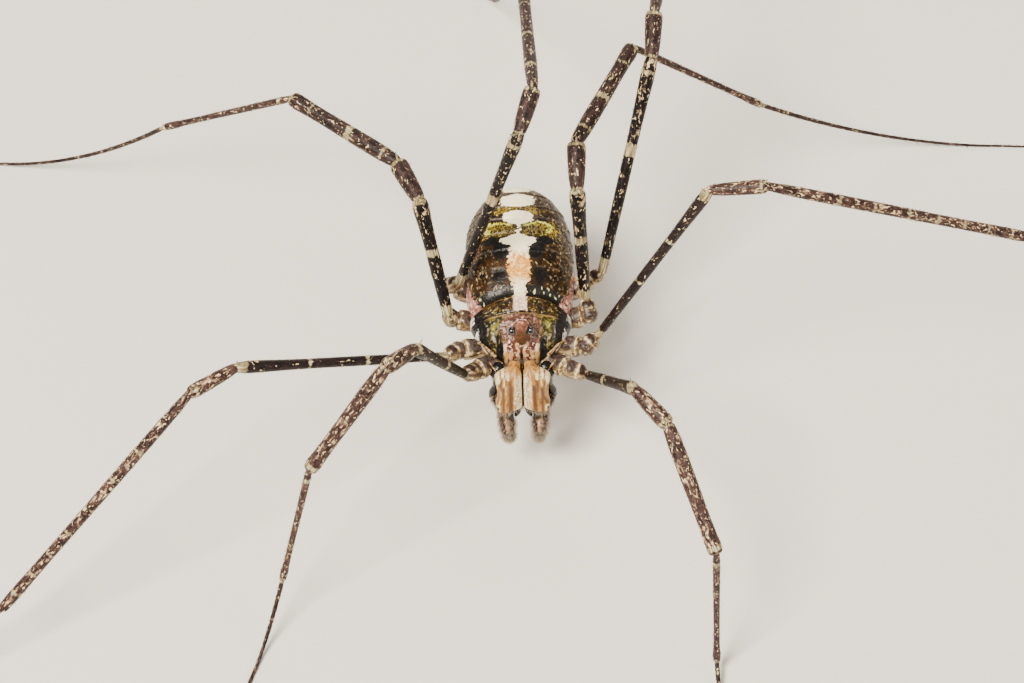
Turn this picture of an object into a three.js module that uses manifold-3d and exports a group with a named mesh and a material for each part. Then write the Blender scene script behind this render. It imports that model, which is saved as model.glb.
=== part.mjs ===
// A long-legged harvestman, female, standing with its legs spread, at life size.
// Millimetres, +Z up. The animal faces -Y, and its left side is +X.
// The middle of the span of its legs, on the floor, is the origin.
import * as THREE from 'three';
import { mergeVertices } from 'three/addons/utils/BufferGeometryUtils.js';
import Module from 'manifold-3d';

const wasm = await Module();
wasm.setup();

// Body: y = 0 is the seam between the two halves of the body, z = 0 the level of the leg roots
const ROOT_HEIGHT = 5.5; // the leg roots over the floor
const GAP = 0.1; // clear space where two pieces meet
const BODY_SIDES = 28;

const SEAM_CURVE = 0.12; // the seam runs forward by this much times x squared
const SEAM_FADE = 1.2; // and the plates beside it by less, to nothing this far from it

const REAR_LENGTH = 5.6; // rear half of the body
const REAR_HALF_WIDTH = 2.26;
const REAR_TOP = 1.62;
const REAR_BOTTOM = 1.5;
const REAR_ROUNDNESS = { along: 4.4, across: 1.9 }; // powers of its blunt, rounded end
const TERGITES = [0.5, 1.25, 2.05, 2.85, 3.55, 4.17, 4.84]; // grooves between the back plates
const GROOVE_DEPTH = 0.05;
const GROOVE_HALF_WIDTH = 0.09;

const FRONT_LENGTH = 2.4; // shield over the front half
const FRONT_HALF_WIDTH = 2.04;
const FRONT_TOP = 1.3;
const FRONT_BOTTOM = 1.05;
const FRONT_EDGE_HALF_WIDTH = 0.64;
const FRONT_EDGE_TOP = 0.56;

// Eyes on their mound
const MOUND = { y: -1.74, middle: 1.38, top: 1.98, halfWidth: 0.38, halfLength: 0.42 };
const EYE = { radius: 0.17, x: 0.34, y: -1.88, z: 1.7 };
const EYE_GAP = 0.04; // the eye in its socket

// Jaws: a short base and a hanging hand with two fingers, as places (x outward, y, z)
const JAW = { x: 0.34, startY: -2.5, endY: -3.1, z: 0.2, radius: 0.28 };
const HAND = { start: [0.54, -3.12, 0.5], end: [0.52, -3.82, -1.12], halfWidth: 0.49, depthShare: 0.76 };
const FINGERS = [
  { start: [0.24, -3.66, -0.95], bend: [0.2, -3.95, -1.4], end: [0.27, -3.92, -1.74], radius: 0.13 },
  { start: [0.56, -3.68, -0.95], bend: [0.62, -4.02, -1.42], end: [0.36, -3.98, -1.78], radius: 0.15 },
];

// Feelers beside the jaws: places (x outward, y, z) and radii along the three stretches of each
const FEELER = {
  femur: [
    { at: [0.98, -2.44, 0.06], radius: 0.16 },
    { at: [1.0, -2.47, -0.12], radius: 0.28 },
    { at: [1.14, -2.58, -0.7], radius: 0.25 },
    { at: [1.24, -2.66, -1.3], radius: 0.25 },
    { at: [1.25, -2.67, -1.85], radius: 0.27 },
    { at: [1.26, -2.68, -2.1], radius: 0.15 },
  ],
  tibia: [
    { at: [1.25, -2.7, -1.86], radius: 0.2 },
    { at: [0.76, -3.36, -1.92], radius: 0.31 },
    { at: [0.66, -3.9, -2.08], radius: 0.31 },
    { at: [0.63, -4.4, -2.28], radius: 0.2 },
  ],
  tarsus: [
    { at: [0.63, -4.2, -2.22], radius: 0.2 },
    { at: [0.61, -4.02, -2.9], radius: 0.24 },
    { at: [0.58, -3.74, -3.6], radius: 0.12 },
  ],
};

// Legs: root (x, y) of each pair, and the lengths and radii of its joints
const LEGS = {
  1: {
    root: [1.95, -2.7],
    lengths: { trochanter: 0.7, femur: 5.1, patella: 1.95, tibia: 5.35, metatarsus: 5.9, tarsus: 9.0 },
    radii: { trochanter: 0.42, femur: 0.25, patella: 0.3, tibia: 0.28, metatarsus: 0.25, tarsus: 0.22 },
  },
  2: {
    root: [2.55, -1.7],
    lengths: { trochanter: 0.7, femur: 9.5, patella: 2.25, tibia: 12.0, metatarsus: 9.5, tarsus: 15.0 },
    radii: { trochanter: 0.42, femur: 0.25, patella: 0.27, tibia: 0.25, metatarsus: 0.25, tarsus: 0.22 },
  },
  3: {
    root: [2.75, -0.2],
    lengths: { trochanter: 0.7, femur: 5.1, patella: 1.9, tibia: 5.3, metatarsus: 7.5, tarsus: 13.5 },
    radii: { trochanter: 0.4, femur: 0.27, patella: 0.32, tibia: 0.26, metatarsus: 0.25, tarsus: 0.22 },
  },
  4: {
    root: [2.75, 1.34],
    lengths: { trochanter: 0.7, femur: 9.1, patella: 1.9, tibia: 8.2, metatarsus: 10.8, tarsus: 12.0 },
    radii: { trochanter: 0.38, femur: 0.25, patella: 0.31, tibia: 0.25, metatarsus: 0.25, tarsus: 0.22 },
  },
};

// Pose of each leg: degrees forward of straight out to its own side, and degrees above level.
// The last row is the foot: its heading, how far it turns, and the share of it that is off the floor.
const POSES = {
  left_1: [[19, -9], [59, 49], [49, -10], [68, -30], [89, -72], [88, -10, 0.35]],
  left_2: [[-38, 20], [-19, 61], [4, 11], [-4, -28], [-2, -62], [0, 15, 0.35]],
  left_3: [[-104, 29], [-96, 63], [-89, 19], [-63, -5], [-5, -45], [-14, 19, 0.85]],
  left_4: [[-20, 30], [-70, 46], [-85, 13], [-82, -30], [-78, -45], [-72, 10, 0.3]],
  right_1: [[50, 44], [36, 63], [50, 28], [38, -42], [55, -67], [64, 10, 0.45]],
  right_2: [[42, 27], [18, 26], [38, 12], [34, -38], [30, -14], [28, -10, 0.2]],
  right_3: [[52, 71], [-71, 53], [-64, 2], [-38, -2], [-19, -40], [-16, 8, 0.75]],
  right_4: [[150, 56], [-149, 71], [-109, 16], [-88, -28], [-78, -58], [-72, 12, 0.3]],
};

// How thick each joint is along its length, as shares of its radius
const THICKNESS = {
  trochanter: [0.8, 0.74, 0.68],
  femur: [0.92, 0.95, 1.0, 1.0, 1.04, 1.12],
  patella: [0.86, 0.94, 1.04, 1.1, 0.95],
  tibia: [0.9, 1.0, 1.02, 1.0, 0.98, 1.0],
  metatarsus: [1.0, 1.0, 1.0, 1.0, 1.04],
  tarsus: [1.0, 0.92, 0.8, 0.66, 0.5, 0.32],
};
const TUBES = {
  trochanter: { sides: 10, rings: 2 },
  femur: { sides: 10, rings: 6 },
  patella: { sides: 10, rings: 5 },
  tibia: { sides: 10, rings: 6 },
  metatarsus: { sides: 8, rings: 5 },
};
const COXA_INSET = 0.2; // the rim of the coxa is this far short of the middle of the trochanter
const COXA = { innerX: 0.45, innerShare: 0.45, innerShift: -0.35, innerZ: -0.62, radius: 0.44 };
const COXA_THICKNESS = [0.8, 1.0, 1.04, 0.92];
const SPINE = { length: 0.34, radius: 0.08, lean: 40 };
const FLAT = 0.85; // a foot on the floor is cut to this share of its radius below its middle

const COLOURS = {
  shield: 0x3b3526,
  back: 0x4a4030,
  mound: 0x8a6f64,
  eye: 0x0b0a0c,
  jaw: 0xc9a476,
  feeler: 0x6d5648,
  trochanter: 0xb59468,
  femur: 0x2a2226,
  patella: 0x5c4842,
  tibia: 0x4c3b3b,
  metatarsus: 0x5a4441,
  tarsus: 0x4a3a36,
};

const radians = THREE.MathUtils.degToRad;
const figure = new THREE.Group();
const animal = new THREE.Group();
animal.position.z = ROOT_HEIGHT;
figure.add(animal);

function finish(geometry) {
  const bare = geometry.clone();
  bare.deleteAttribute('normal');
  bare.deleteAttribute('uv');
  return mergeVertices(bare, 1e-5);
}

function addNode(name, geometry, colour, roughness = 0.55) {
  const closed = finish(geometry);
  closed.computeVertexNormals();
  const material = new THREE.MeshStandardMaterial({ color: colour, roughness, metalness: 0 });
  const mesh = new THREE.Mesh(closed, material);
  mesh.name = name;
  animal.add(mesh);
}

function toSolid(geometry) {
  const closed = finish(geometry);
  return new wasm.Manifold(new wasm.Mesh({
    numProp: 3,
    vertProperties: Float32Array.from(closed.attributes.position.array),
    triVerts: Uint32Array.from(closed.index.array),
  }));
}

function fromSolid(solid) {
  const parts = solid.decompose();
  const largest = parts.reduce((a, b) => (a.volume() > b.volume() ? a : b));
  const mesh = largest.getMesh();
  const geometry = new THREE.BufferGeometry();
  geometry.setAttribute('position', new THREE.BufferAttribute(mesh.vertProperties, 3));
  geometry.setIndex(new THREE.BufferAttribute(mesh.triVerts, 1));
  return geometry;
}

function fuse(geometries) {
  const solids = geometries.map(toSolid);
  return fromSolid(solids.reduce((a, b) => a.add(b)));
}

function moveVertices(geometry, move) {
  const position = geometry.attributes.position;
  const point = new THREE.Vector3();
  for (let i = 0; i < position.count; i++) {
    point.fromBufferAttribute(position, i);
    move(point);
    position.setXYZ(i, point.x, point.y, point.z);
  }
  return geometry;
}

// The value at t of a row of evenly spaced values
function along(values, t) {
  const place = Math.min(t, 1) * (values.length - 1);
  const index = Math.min(Math.floor(place), values.length - 2);
  return THREE.MathUtils.lerp(values[index], values[index + 1], place - index);
}

// A closed tube on a path. Each end face may lean to meet the next piece, half a gap short of it.
function tube(path, radiusAt, options) {
  const { sides, rings, startFace = null, endFace = null, depthShare = 1, flat = false } = options;
  const length = path.getLength();
  const geometry = new THREE.CylinderGeometry(1, 1, 1, sides, rings);
  const up = new THREE.Vector3(0, 0, 1);
  return moveVertices(geometry, (point) => {
    const t = point.y + 0.5;
    const centre = path.getPoint(t);
    const ahead = path.getTangent(t);
    const side = new THREE.Vector3().crossVectors(ahead, up).normalize();
    const above = new THREE.Vector3().crossVectors(side, ahead);
    const radius = radiusAt(t);
    const offset = side.multiplyScalar(point.x * radius);
    offset.addScaledVector(above, point.z * radius * depthShare);
    const reach = (2.5 * radius) / length;
    let shift = 0;
    if (startFace) {
      shift += (Math.max(0, 1 - t / reach) * (GAP / 2 - offset.dot(startFace))) / ahead.dot(startFace);
    }
    if (endFace) {
      shift -= (Math.max(0, 1 - (1 - t) / reach) * (GAP / 2 + offset.dot(endFace))) / ahead.dot(endFace);
    }
    point.copy(centre).add(offset).addScaledVector(ahead, shift);
    if (flat) point.z = Math.max(point.z, -ROOT_HEIGHT);
  });
}

// The ball of a trochanter, in the hollow end of its coxa
function rootBall(root, leg, grown) {
  return new THREE.SphereGeometry(leg.radii.trochanter + grown, 14, 10).translate(...root.toArray());
}

// Direction of a joint of a leg from its heading and pitch
function direction(side, heading, pitch) {
  const h = radians(heading);
  const p = radians(pitch);
  return new THREE.Vector3(side * Math.cos(h) * Math.cos(p), -Math.sin(h) * Math.cos(p), Math.sin(p));
}

function faceBetween(before, after) {
  return new THREE.Vector3().addVectors(before, after).normalize();
}

// The foot leaves the shin at its joint, sinks in a smooth curve and then lies along the floor
function footPath(start, side, [heading, turn, offFloor], length, radiusAt) {
  const steps = 120;
  const drop = start.z + ROOT_HEIGHT - FLAT * radiusAt(0);
  const landing = Math.sqrt((offFloor * length) ** 2 - drop ** 2);
  const points = [start.clone()];
  const place = start.clone();
  let height = drop;
  for (let i = 1; i <= steps; i++) {
    const slope = (2 * Math.sqrt(height * drop)) / landing;
    const stride = length / steps / Math.hypot(1, slope);
    const h = radians(heading + (turn * i) / steps);
    place.x += side * Math.cos(h) * stride;
    place.y -= Math.sin(h) * stride;
    height = Math.max(height - slope * stride, 0);
    place.z = -ROOT_HEIGHT + height + FLAT * radiusAt(i / steps);
    points.push(place.clone());
  }
  return new THREE.CatmullRomCurve3(points.filter((_, i) => i % 6 === 0));
}

// Body: a profile turned about the long axis, then pressed to its width, top and bottom
function bodySolid(profile, { width, top, bottom, seamAt }) {
  const points = profile.map(([radius, y]) => new THREE.Vector2(radius, y));
  const geometry = new THREE.LatheGeometry(points, BODY_SIDES);
  return moveVertices(geometry, (point) => {
    const t = point.y;
    const halfWidth = width(t);
    point.x *= halfWidth;
    point.z *= point.z > 0 ? top(t) : bottom(t);
    point.y += seamAt(t) * point.x * point.x;
  });
}

function rearProfile() {
  const { along: lengthwise, across } = REAR_ROUNDNESS;
  const roundEnd = (share) => Math.pow(1 - Math.pow(share, lengthwise), 1 / across);
  const stations = [0, 0.18];
  for (const groove of TERGITES) {
    stations.push(groove - GROOVE_HALF_WIDTH, groove, groove + GROOVE_HALF_WIDTH);
  }
  stations.push(5.3, 5.45, 5.54);
  const points = [[0, GAP / 2], [0.5, GAP / 2], [0.93, GAP / 2]];
  for (const y of stations.slice(1)) {
    const groove = TERGITES.includes(y) ? GROOVE_DEPTH : 0;
    points.push([roundEnd(y / REAR_LENGTH) - groove, y]);
  }
  points.push([0, REAR_LENGTH]);
  return points;
}

// The rear half rests on the coxae of the last legs, which are let into its underside
function makeRear() {
  const shoulder = (y) => 0.93 + 0.07 * Math.sin(Math.min(y / 2.4, 1) * (Math.PI / 2));
  let rear = toSolid(bodySolid(rearProfile(), {
    width: (y) => REAR_HALF_WIDTH * shoulder(y),
    top: (y) => REAR_TOP * (0.8 + 0.2 * Math.sin(Math.min(y / 2.8, 1) * (Math.PI / 2))),
    bottom: (y) => REAR_BOTTOM * (0.56 + 0.44 * Math.sin(Math.min(y / 2.6, 1) * (Math.PI / 2))),
    seamAt: (y) => -SEAM_CURVE * Math.max(0, 1 - y / SEAM_FADE),
  }));
  for (const neighbour of frontPieces(GAP)) rear = rear.subtract(toSolid(neighbour));
  for (const side of [1, -1]) {
    rear = rear.subtract(toSolid(rootBall(coxaEnds(side, LEGS[4]).root, LEGS[4], GAP)));
  }
  addNode('opisthosoma', fromSolid(rear), COLOURS.back);
}

function frontShield(grown) {
  const shieldWidth = (y) => {
    const round = Math.sqrt(Math.max(0, 1 - Math.pow(Math.min(-y / FRONT_LENGTH, 1), 2.4)));
    return Math.max(FRONT_EDGE_HALF_WIDTH, FRONT_HALF_WIDTH * round) + grown;
  };
  const front = -FRONT_LENGTH - grown;
  const profile = [[0, front], [0.6, front], [0.92, front]];
  for (const y of [-2.3, -2.1, -1.85, -1.55, -1.2, -0.8, -0.35]) profile.push([1, y]);
  profile.push([0.93, -GAP / 2], [0.5, -GAP / 2], [0, -GAP / 2]);
  return bodySolid(profile, {
    width: shieldWidth,
    top: (y) => grown + THREE.MathUtils.lerp(FRONT_TOP, FRONT_EDGE_TOP, (-y / FRONT_LENGTH) ** 2.5),
    bottom: (y) => grown + THREE.MathUtils.lerp(FRONT_BOTTOM, 0.5, (-y / FRONT_LENGTH) ** 2),
    seamAt: (y) => -SEAM_CURVE * Math.max(0, 1 + y / SEAM_FADE),
  });
}

// The coxa of a leg runs from under the body to just short of the trochanter
function coxaEnds(side, leg) {
  const root = new THREE.Vector3(side * leg.root[0], leg.root[1], 0);
  const innerY = leg.root[1] * COXA.innerShare + COXA.innerShift;
  const inner = new THREE.Vector3(side * COXA.innerX, innerY, COXA.innerZ);
  const ahead = root.clone().sub(inner).normalize();
  const end = root.clone().addScaledVector(ahead, -COXA_INSET);
  return { root, inner, end };
}

function frontPieces(grown) {
  const pieces = [frontShield(grown)];
  for (const side of [1, -1]) {
    for (const leg of Object.values(LEGS)) {
      const { inner, end } = coxaEnds(side, leg);
      const radiusAt = (t) => COXA.radius * along(COXA_THICKNESS, t) + grown;
      pieces.push(tube(new THREE.LineCurve3(inner, end), radiusAt, { sides: 10, rings: 3 }));
    }
  }
  return pieces;
}

// A rounded box-like mound, set on the shield and hollowed where the two eyes sit
function makeEyes() {
  const block = moveVertices(new THREE.SphereGeometry(1, 16, 10), (point) => {
    const fullness = Math.max(0.1, 1 - point.y * point.y) ** -0.12;
    point.set(
      point.x * MOUND.halfWidth * fullness,
      MOUND.y - point.z * MOUND.halfLength * fullness,
      MOUND.middle + point.y * (MOUND.top - MOUND.middle),
    );
  });
  const eyeAt = (side, radius) => {
    const ball = new THREE.SphereGeometry(radius, 12, 8);
    return ball.translate(side * EYE.x, EYE.y, EYE.z);
  };
  let mound = toSolid(block).subtract(toSolid(frontShield(GAP)));
  for (const side of [1, -1]) {
    mound = mound.subtract(toSolid(eyeAt(side, EYE.radius + EYE_GAP)));
    addNode(side > 0 ? 'eye_left' : 'eye_right', eyeAt(side, EYE.radius), COLOURS.eye, 0.08);
  }
  addNode('eye_mound', fromSolid(mound), COLOURS.mound);
}

function place(side, [x, y, z]) {
  return new THREE.Vector3(side * x, y, z);
}

function jawHand(side, grown) {
  const path = new THREE.LineCurve3(place(side, HAND.start), place(side, HAND.end));
  const radiusAt = (t) => HAND.halfWidth * along([0.6, 0.93, 1.0, 0.98, 0.92, 0.62], t) + grown;
  const hand = tube(path, radiusAt, { sides: 16, rings: 8, depthShare: HAND.depthShare });
  const fingers = FINGERS.map(({ start, bend, end, radius }) => {
    const curve = new THREE.QuadraticBezierCurve3(place(side, start), place(side, bend), place(side, end));
    return tube(curve, (t) => radius * (1 - 0.7 * t) + grown, { sides: 8, rings: 5 });
  });
  return fuse([hand, ...fingers]);
}

function makeJaws(side, word) {
  const start = new THREE.Vector3(side * JAW.x, JAW.startY, JAW.z);
  const end = new THREE.Vector3(side * JAW.x, JAW.endY, JAW.z);
  const radiusAt = (t) => JAW.radius * along([1.0, 1.0, 1.0, 0.7], t);
  const base = tube(new THREE.LineCurve3(start, end), radiusAt, { sides: 14, rings: 5 });
  const cut = toSolid(base).subtract(toSolid(jawHand(side, GAP)));
  addNode(`chelicera_base_${word}`, fromSolid(cut), COLOURS.jaw);
  addNode(`chelicera_hand_${word}`, jawHand(side, 0), COLOURS.jaw);
}

// A feeler is three bent tubes sunk into each other, cut clear of the body that it grows from
function makeFeeler(side, word) {
  const pieces = Object.values(FEELER).map((joints) => {
    const path = new THREE.CatmullRomCurve3(joints.map(({ at }) => place(side, at)));
    const radii = joints.map(({ radius }) => radius);
    return tube(path, (t) => along(radii, t), { sides: 10, rings: 2 * (joints.length - 1) });
  });
  const feeler = toSolid(fuse(pieces)).subtract(toSolid(fuse(frontPieces(GAP))));
  addNode(`pedipalp_${word}`, fromSolid(feeler), COLOURS.feeler);
}

// A short spine that leans forward over the joint at the upper end of a femur or patella
function spine(path, ahead, radius) {
  const at = path.getPoint(1 - radius / path.getLength());
  const up = new THREE.Vector3(0, 0, 1);
  const side = new THREE.Vector3().crossVectors(ahead, up).normalize();
  const above = new THREE.Vector3().crossVectors(side, ahead);
  const lean = radians(SPINE.lean);
  const points = ahead.clone().multiplyScalar(Math.sin(lean)).addScaledVector(above, Math.cos(lean));
  const cone = new THREE.ConeGeometry(SPINE.radius, radius + SPINE.length, 6, 1);
  cone.translate(0, (radius + SPINE.length) / 2, 0);
  cone.applyQuaternion(new THREE.Quaternion().setFromUnitVectors(up.set(0, 1, 0), points));
  return cone.translate(at.x, at.y, at.z);
}

function makeLeg(name) {
  const [word, pair] = name.split('_');
  const side = word === 'left' ? 1 : -1;
  const leg = LEGS[pair];
  const pose = POSES[name];
  const joints = ['trochanter', 'femur', 'patella', 'tibia', 'metatarsus'];
  const ways = joints.map((_, i) => direction(side, ...pose[i]));
  const coxa = coxaEnds(side, leg);
  const thickness = (joint) => (t) => leg.radii[joint] * along(THICKNESS[joint], t);
  let start = coxa.root.clone();
  let startFace = null;
  joints.forEach((joint, i) => {
    const end = start.clone().addScaledVector(ways[i], leg.lengths[joint]);
    const endFace = i + 1 < joints.length ? faceBetween(ways[i], ways[i + 1]) : ways[i];
    const path = new THREE.LineCurve3(start, end);
    let geometry = tube(path, thickness(joint), { ...TUBES[joint], startFace, endFace });
    if (joint === 'trochanter') geometry = fuse([geometry, rootBall(coxa.root, leg, 0)]);
    if (joint === 'femur' || joint === 'patella') {
      geometry = fuse([geometry, spine(path, ways[i], leg.radii[joint])]);
    }
    addNode(`leg_${name}_${joint}`, geometry, COLOURS[joint]);
    start = end;
    startFace = endFace;
  });
  const foot = footPath(start, side, pose[5], leg.lengths.tarsus, thickness('tarsus'));
  addNode(`leg_${name}_tarsus`, tube(foot, thickness('tarsus'), {
    sides: 8, rings: 16, startFace, flat: true,
  }), COLOURS.tarsus);
}

function makeFront() {
  let front = toSolid(fuse(frontPieces(0)));
  for (const side of [1, -1]) {
    for (const leg of Object.values(LEGS)) {
      front = front.subtract(toSolid(rootBall(coxaEnds(side, leg).root, leg, GAP)));
    }
  }
  addNode('prosoma', fromSolid(front), COLOURS.shield);
}

makeRear();
makeFront();
makeEyes();
for (const [side, word] of [[1, 'left'], [-1, 'right']]) {
  makeJaws(side, word);
  makeFeeler(side, word);
}
Object.keys(POSES).forEach(makeLeg);

// The middle of the leg span goes on the origin
const span = new THREE.Box3().setFromObject(figure);
const middle = span.getCenter(new THREE.Vector3());
figure.position.set(-middle.x, -middle.y, -span.min.z);

export default figure;
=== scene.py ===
"""A long-legged harvestman as a life-size museum model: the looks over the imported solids."""
import functools
import math

import bmesh
import bpy
import numpy as np
from mathutils import Matrix, Vector, noise


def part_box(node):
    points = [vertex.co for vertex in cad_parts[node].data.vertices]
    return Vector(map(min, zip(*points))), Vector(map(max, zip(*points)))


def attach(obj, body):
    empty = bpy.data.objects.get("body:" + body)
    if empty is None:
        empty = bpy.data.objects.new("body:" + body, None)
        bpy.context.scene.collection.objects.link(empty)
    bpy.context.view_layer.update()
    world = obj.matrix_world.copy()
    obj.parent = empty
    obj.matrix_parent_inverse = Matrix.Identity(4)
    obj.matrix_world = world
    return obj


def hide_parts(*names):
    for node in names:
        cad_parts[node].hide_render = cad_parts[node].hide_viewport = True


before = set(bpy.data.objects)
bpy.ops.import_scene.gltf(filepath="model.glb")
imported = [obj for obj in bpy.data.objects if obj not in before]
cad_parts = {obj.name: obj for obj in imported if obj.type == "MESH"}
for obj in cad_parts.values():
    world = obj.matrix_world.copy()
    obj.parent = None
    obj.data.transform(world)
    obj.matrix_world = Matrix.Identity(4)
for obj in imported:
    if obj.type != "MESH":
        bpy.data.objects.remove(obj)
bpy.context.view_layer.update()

# The camera looks down at the animal's face from 60 degrees above level, through a long lens. All
# sizes of the body are in mm from its own origin, at leg-root level under the seam of its two halves.
MM = 0.001
ROOT_HEIGHT = 5.5  # leg roots over the floor
REAR_LENGTH = 5.6
rear_low, rear_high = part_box("opisthosoma")
BODY_ORIGIN = Vector((
    (rear_low.x + rear_high.x) / 2,
    rear_high.y - REAR_LENGTH * MM,
    ROOT_HEIGHT * MM,
))

PHOTO_SIZE = (1024, 683)
BODY_PIXEL = (520.5, 312.0)  # where the body's origin lies in the photograph
FOCAL_PIXELS = 5350.0
CAMERA_DISTANCE = 0.214
CAMERA_ELEVATION = math.radians(60)
CAMERA_ROLL = math.radians(1.64)
SENSOR_WIDTH = 36.0


def add_object(name, data):
    made = bpy.data.objects.new(name, data)
    bpy.context.scene.collection.objects.link(made)
    return made


camera_back = Vector((0, -math.cos(CAMERA_ELEVATION), math.sin(CAMERA_ELEVATION)))
level_right = Vector((1, 0, 0))
level_up = Vector((0, math.sin(CAMERA_ELEVATION), math.cos(CAMERA_ELEVATION)))
camera_right = math.cos(CAMERA_ROLL) * level_right - math.sin(CAMERA_ROLL) * level_up
camera_up = math.sin(CAMERA_ROLL) * level_right + math.cos(CAMERA_ROLL) * level_up
aside, below = (
    (pixel - size / 2) / FOCAL_PIXELS * CAMERA_DISTANCE for pixel, size in zip(BODY_PIXEL, PHOTO_SIZE)
)
lens = bpy.data.cameras.new("camera")
lens.sensor_width = SENSOR_WIDTH
lens.lens = FOCAL_PIXELS / PHOTO_SIZE[0] * SENSOR_WIDTH
lens.clip_start = 0.005
lens.clip_end = 5
camera = add_object("camera", lens)
camera.matrix_world = Matrix.Translation(
    BODY_ORIGIN - aside * camera_right + below * camera_up + CAMERA_DISTANCE * camera_back
) @ Matrix((camera_right, camera_up, camera_back)).transposed().to_4x4()
bpy.context.scene.camera = camera


# The back, the opisthosoma: eight hard plates of tanned cuticle on a softer, pleated skin, fused in
# front and jointed behind. The plates meet in fine ridged grooves.
WELD = 1e-4
CUTICLE_IOR = 1.55
WAXY_SHINE = 0.28  # a bloom of wax and fine hair takes off about half of the shine
PATTERN_DRIFT = 0.3
SEAM_CURVE = 0.12  # the seam of the two halves runs forward by this much times x squared
SEAM_FADE = 1.2
# Half the width, the height and the depth: in full, as a share of that at the seam, and how far
# behind the seam it is full
REAR_WIDTH = (2.24, 0.93, 2.4)
REAR_TOP = (1.6, 0.8, 2.8)
REAR_BOTTOM = (1.48, 0.56, 2.6)
# How square the outline is lengthwise, across and in height: 2 is an ellipse
REAR_ROUND_ALONG, REAR_ROUND_ACROSS, REAR_ROUND_ABOVE = 4.4, 1.9, 2.6
SEAM_GAP, END_GAP = 0.04, 0.02  # how far each half stays off the seam and its own far end
REAR_FACE = 0.05  # share of the rows on the hidden front face
REAR_SIDES, REAR_ROWS = 220, 250
TERGITES = (0.5, 1.25, 2.05, 2.85, 3.55, 4.17, 4.84)  # where each plate ends behind the seam
# The ridge and the groove at the end of a plate: height, place behind the end and width
PLATE_END = ((0.022, 0.02, 0.035), (-0.045, -0.06, 0.05))
PLEAT_DEPTH = 0.03
PLEATS_A_RADIAN = 13  # a pleat about every 0.5 mm
SKIN_UNEVEN = ((2.2, 0.04), (8, 0.018))  # bumps to a millimetre, and their height

# Half the width of the pale stripe at each distance behind the seam
STEM = (
    (-0.3, 0.25), (0.0, 0.26), (0.35, 0.27), (0.55, 0.32), (0.8, 0.42), (1.1, 0.49), (1.4, 0.46),
    (1.7, 0.42), (1.95, 0.38), (2.18, 0.4), (2.3, 0.58), (2.42, 0.74), (2.54, 0.7), (2.62, 0.34),
    (2.74, 0.12), (3.0, 0.05), (3.16, 0.12), (3.26, 0.42), (3.4, 0.58), (3.62, 0.64), (3.78, 0.5),
    (3.88, 0.05), (3.94, -0.25), (4.06, -0.25), (4.12, 0.3), (4.2, 0.66), (4.45, 0.72), (4.7, 0.66),
    (4.78, 0.3), (4.83, -0.06), (4.9, -0.06), (4.98, 0.5), (5.2, 0.6), (5.45, 0.4),
)
PEACH_FROM, PEACH_TO = 0.62, 1.85  # the stretch of the stripe that is peach
# Ovals on each side of the middle: x, y, half the width and half the length
CREST = (0.72, 2.98, 0.7, 0.36)
CREST_SLANT = 0.2  # how much further back it lies for each millimetre outwards
BLOTCHES = ((0.66, 2.08, 0.42, 0.52), (0.8, 0.95, 0.3, 0.3), (1.1, 2.5, 0.36, 0.2))


def linear(hex_colour):
    """An sRGB hex colour as a linear one."""
    channels = [int(hex_colour[i:i + 2], 16) / 255 for i in (1, 3, 5)]
    curve = [c / 12.92 if c <= 0.04045 else ((c + 0.055) / 1.055) ** 2.4 for c in channels]
    return (*curve, 1.0)


def add(tree, kind, inputs=(), **settings):
    """Adds a shader node with its settings, values and links. A node given as a value stands for its
    Fac output, or else its first."""
    made = tree.nodes.new("ShaderNode" + kind)
    for name, value in settings.items():
        setattr(made, name, value)
    for name, value in dict(inputs).items():
        if isinstance(value, bpy.types.Node):
            value = value.outputs.get("Fac") or value.outputs[0]
        if isinstance(value, bpy.types.NodeSocket):
            tree.links.new(value, made.inputs[name])
        else:
            made.inputs[name].default_value = value
    return made


def paint(tree, ground, *layers):
    """Lays layers over a ground. Each has a value, where it starts, where it is full, and a colour."""
    ground = linear(ground) if isinstance(ground, str) else ground
    for value, start, full, colour in layers:
        mask = add(tree, "MapRange", {"Value": value, "From Min": start, "From Max": full})
        over = linear(colour) if isinstance(colour, str) else colour
        ground = add(tree, "Mix", {0: mask, 6: ground, 7: over}, data_type="RGBA").outputs[2]
    return ground


def frayed(tree, mark, noise_value, ragged):
    """A mark of the mesh, in millimetres, with its edge frayed by a noise."""
    value = add(tree, "Attribute", attribute_name=mark)
    middle = add(tree, "Math", {0: value, 1: ragged / 2}, operation="SUBTRACT")
    return add(tree, "Math", {0: noise_value, 1: ragged, 2: middle}, operation="MULTIPLY_ADD")


def off(tree, value, place):
    """How far a value is from a place, either way."""
    return add(tree, "Math", {
        0: add(tree, "Math", {0: value, 1: place}, operation="SUBTRACT"),
    }, operation="ABSOLUTE")


def new_material(name, values):
    material = bpy.data.materials.new(name)
    material.use_nodes = True
    shader = material.node_tree.nodes["Principled BSDF"]
    for socket, value in values.items():
        shader.inputs[socket].default_value = value
    return material, material.node_tree, shader


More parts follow.
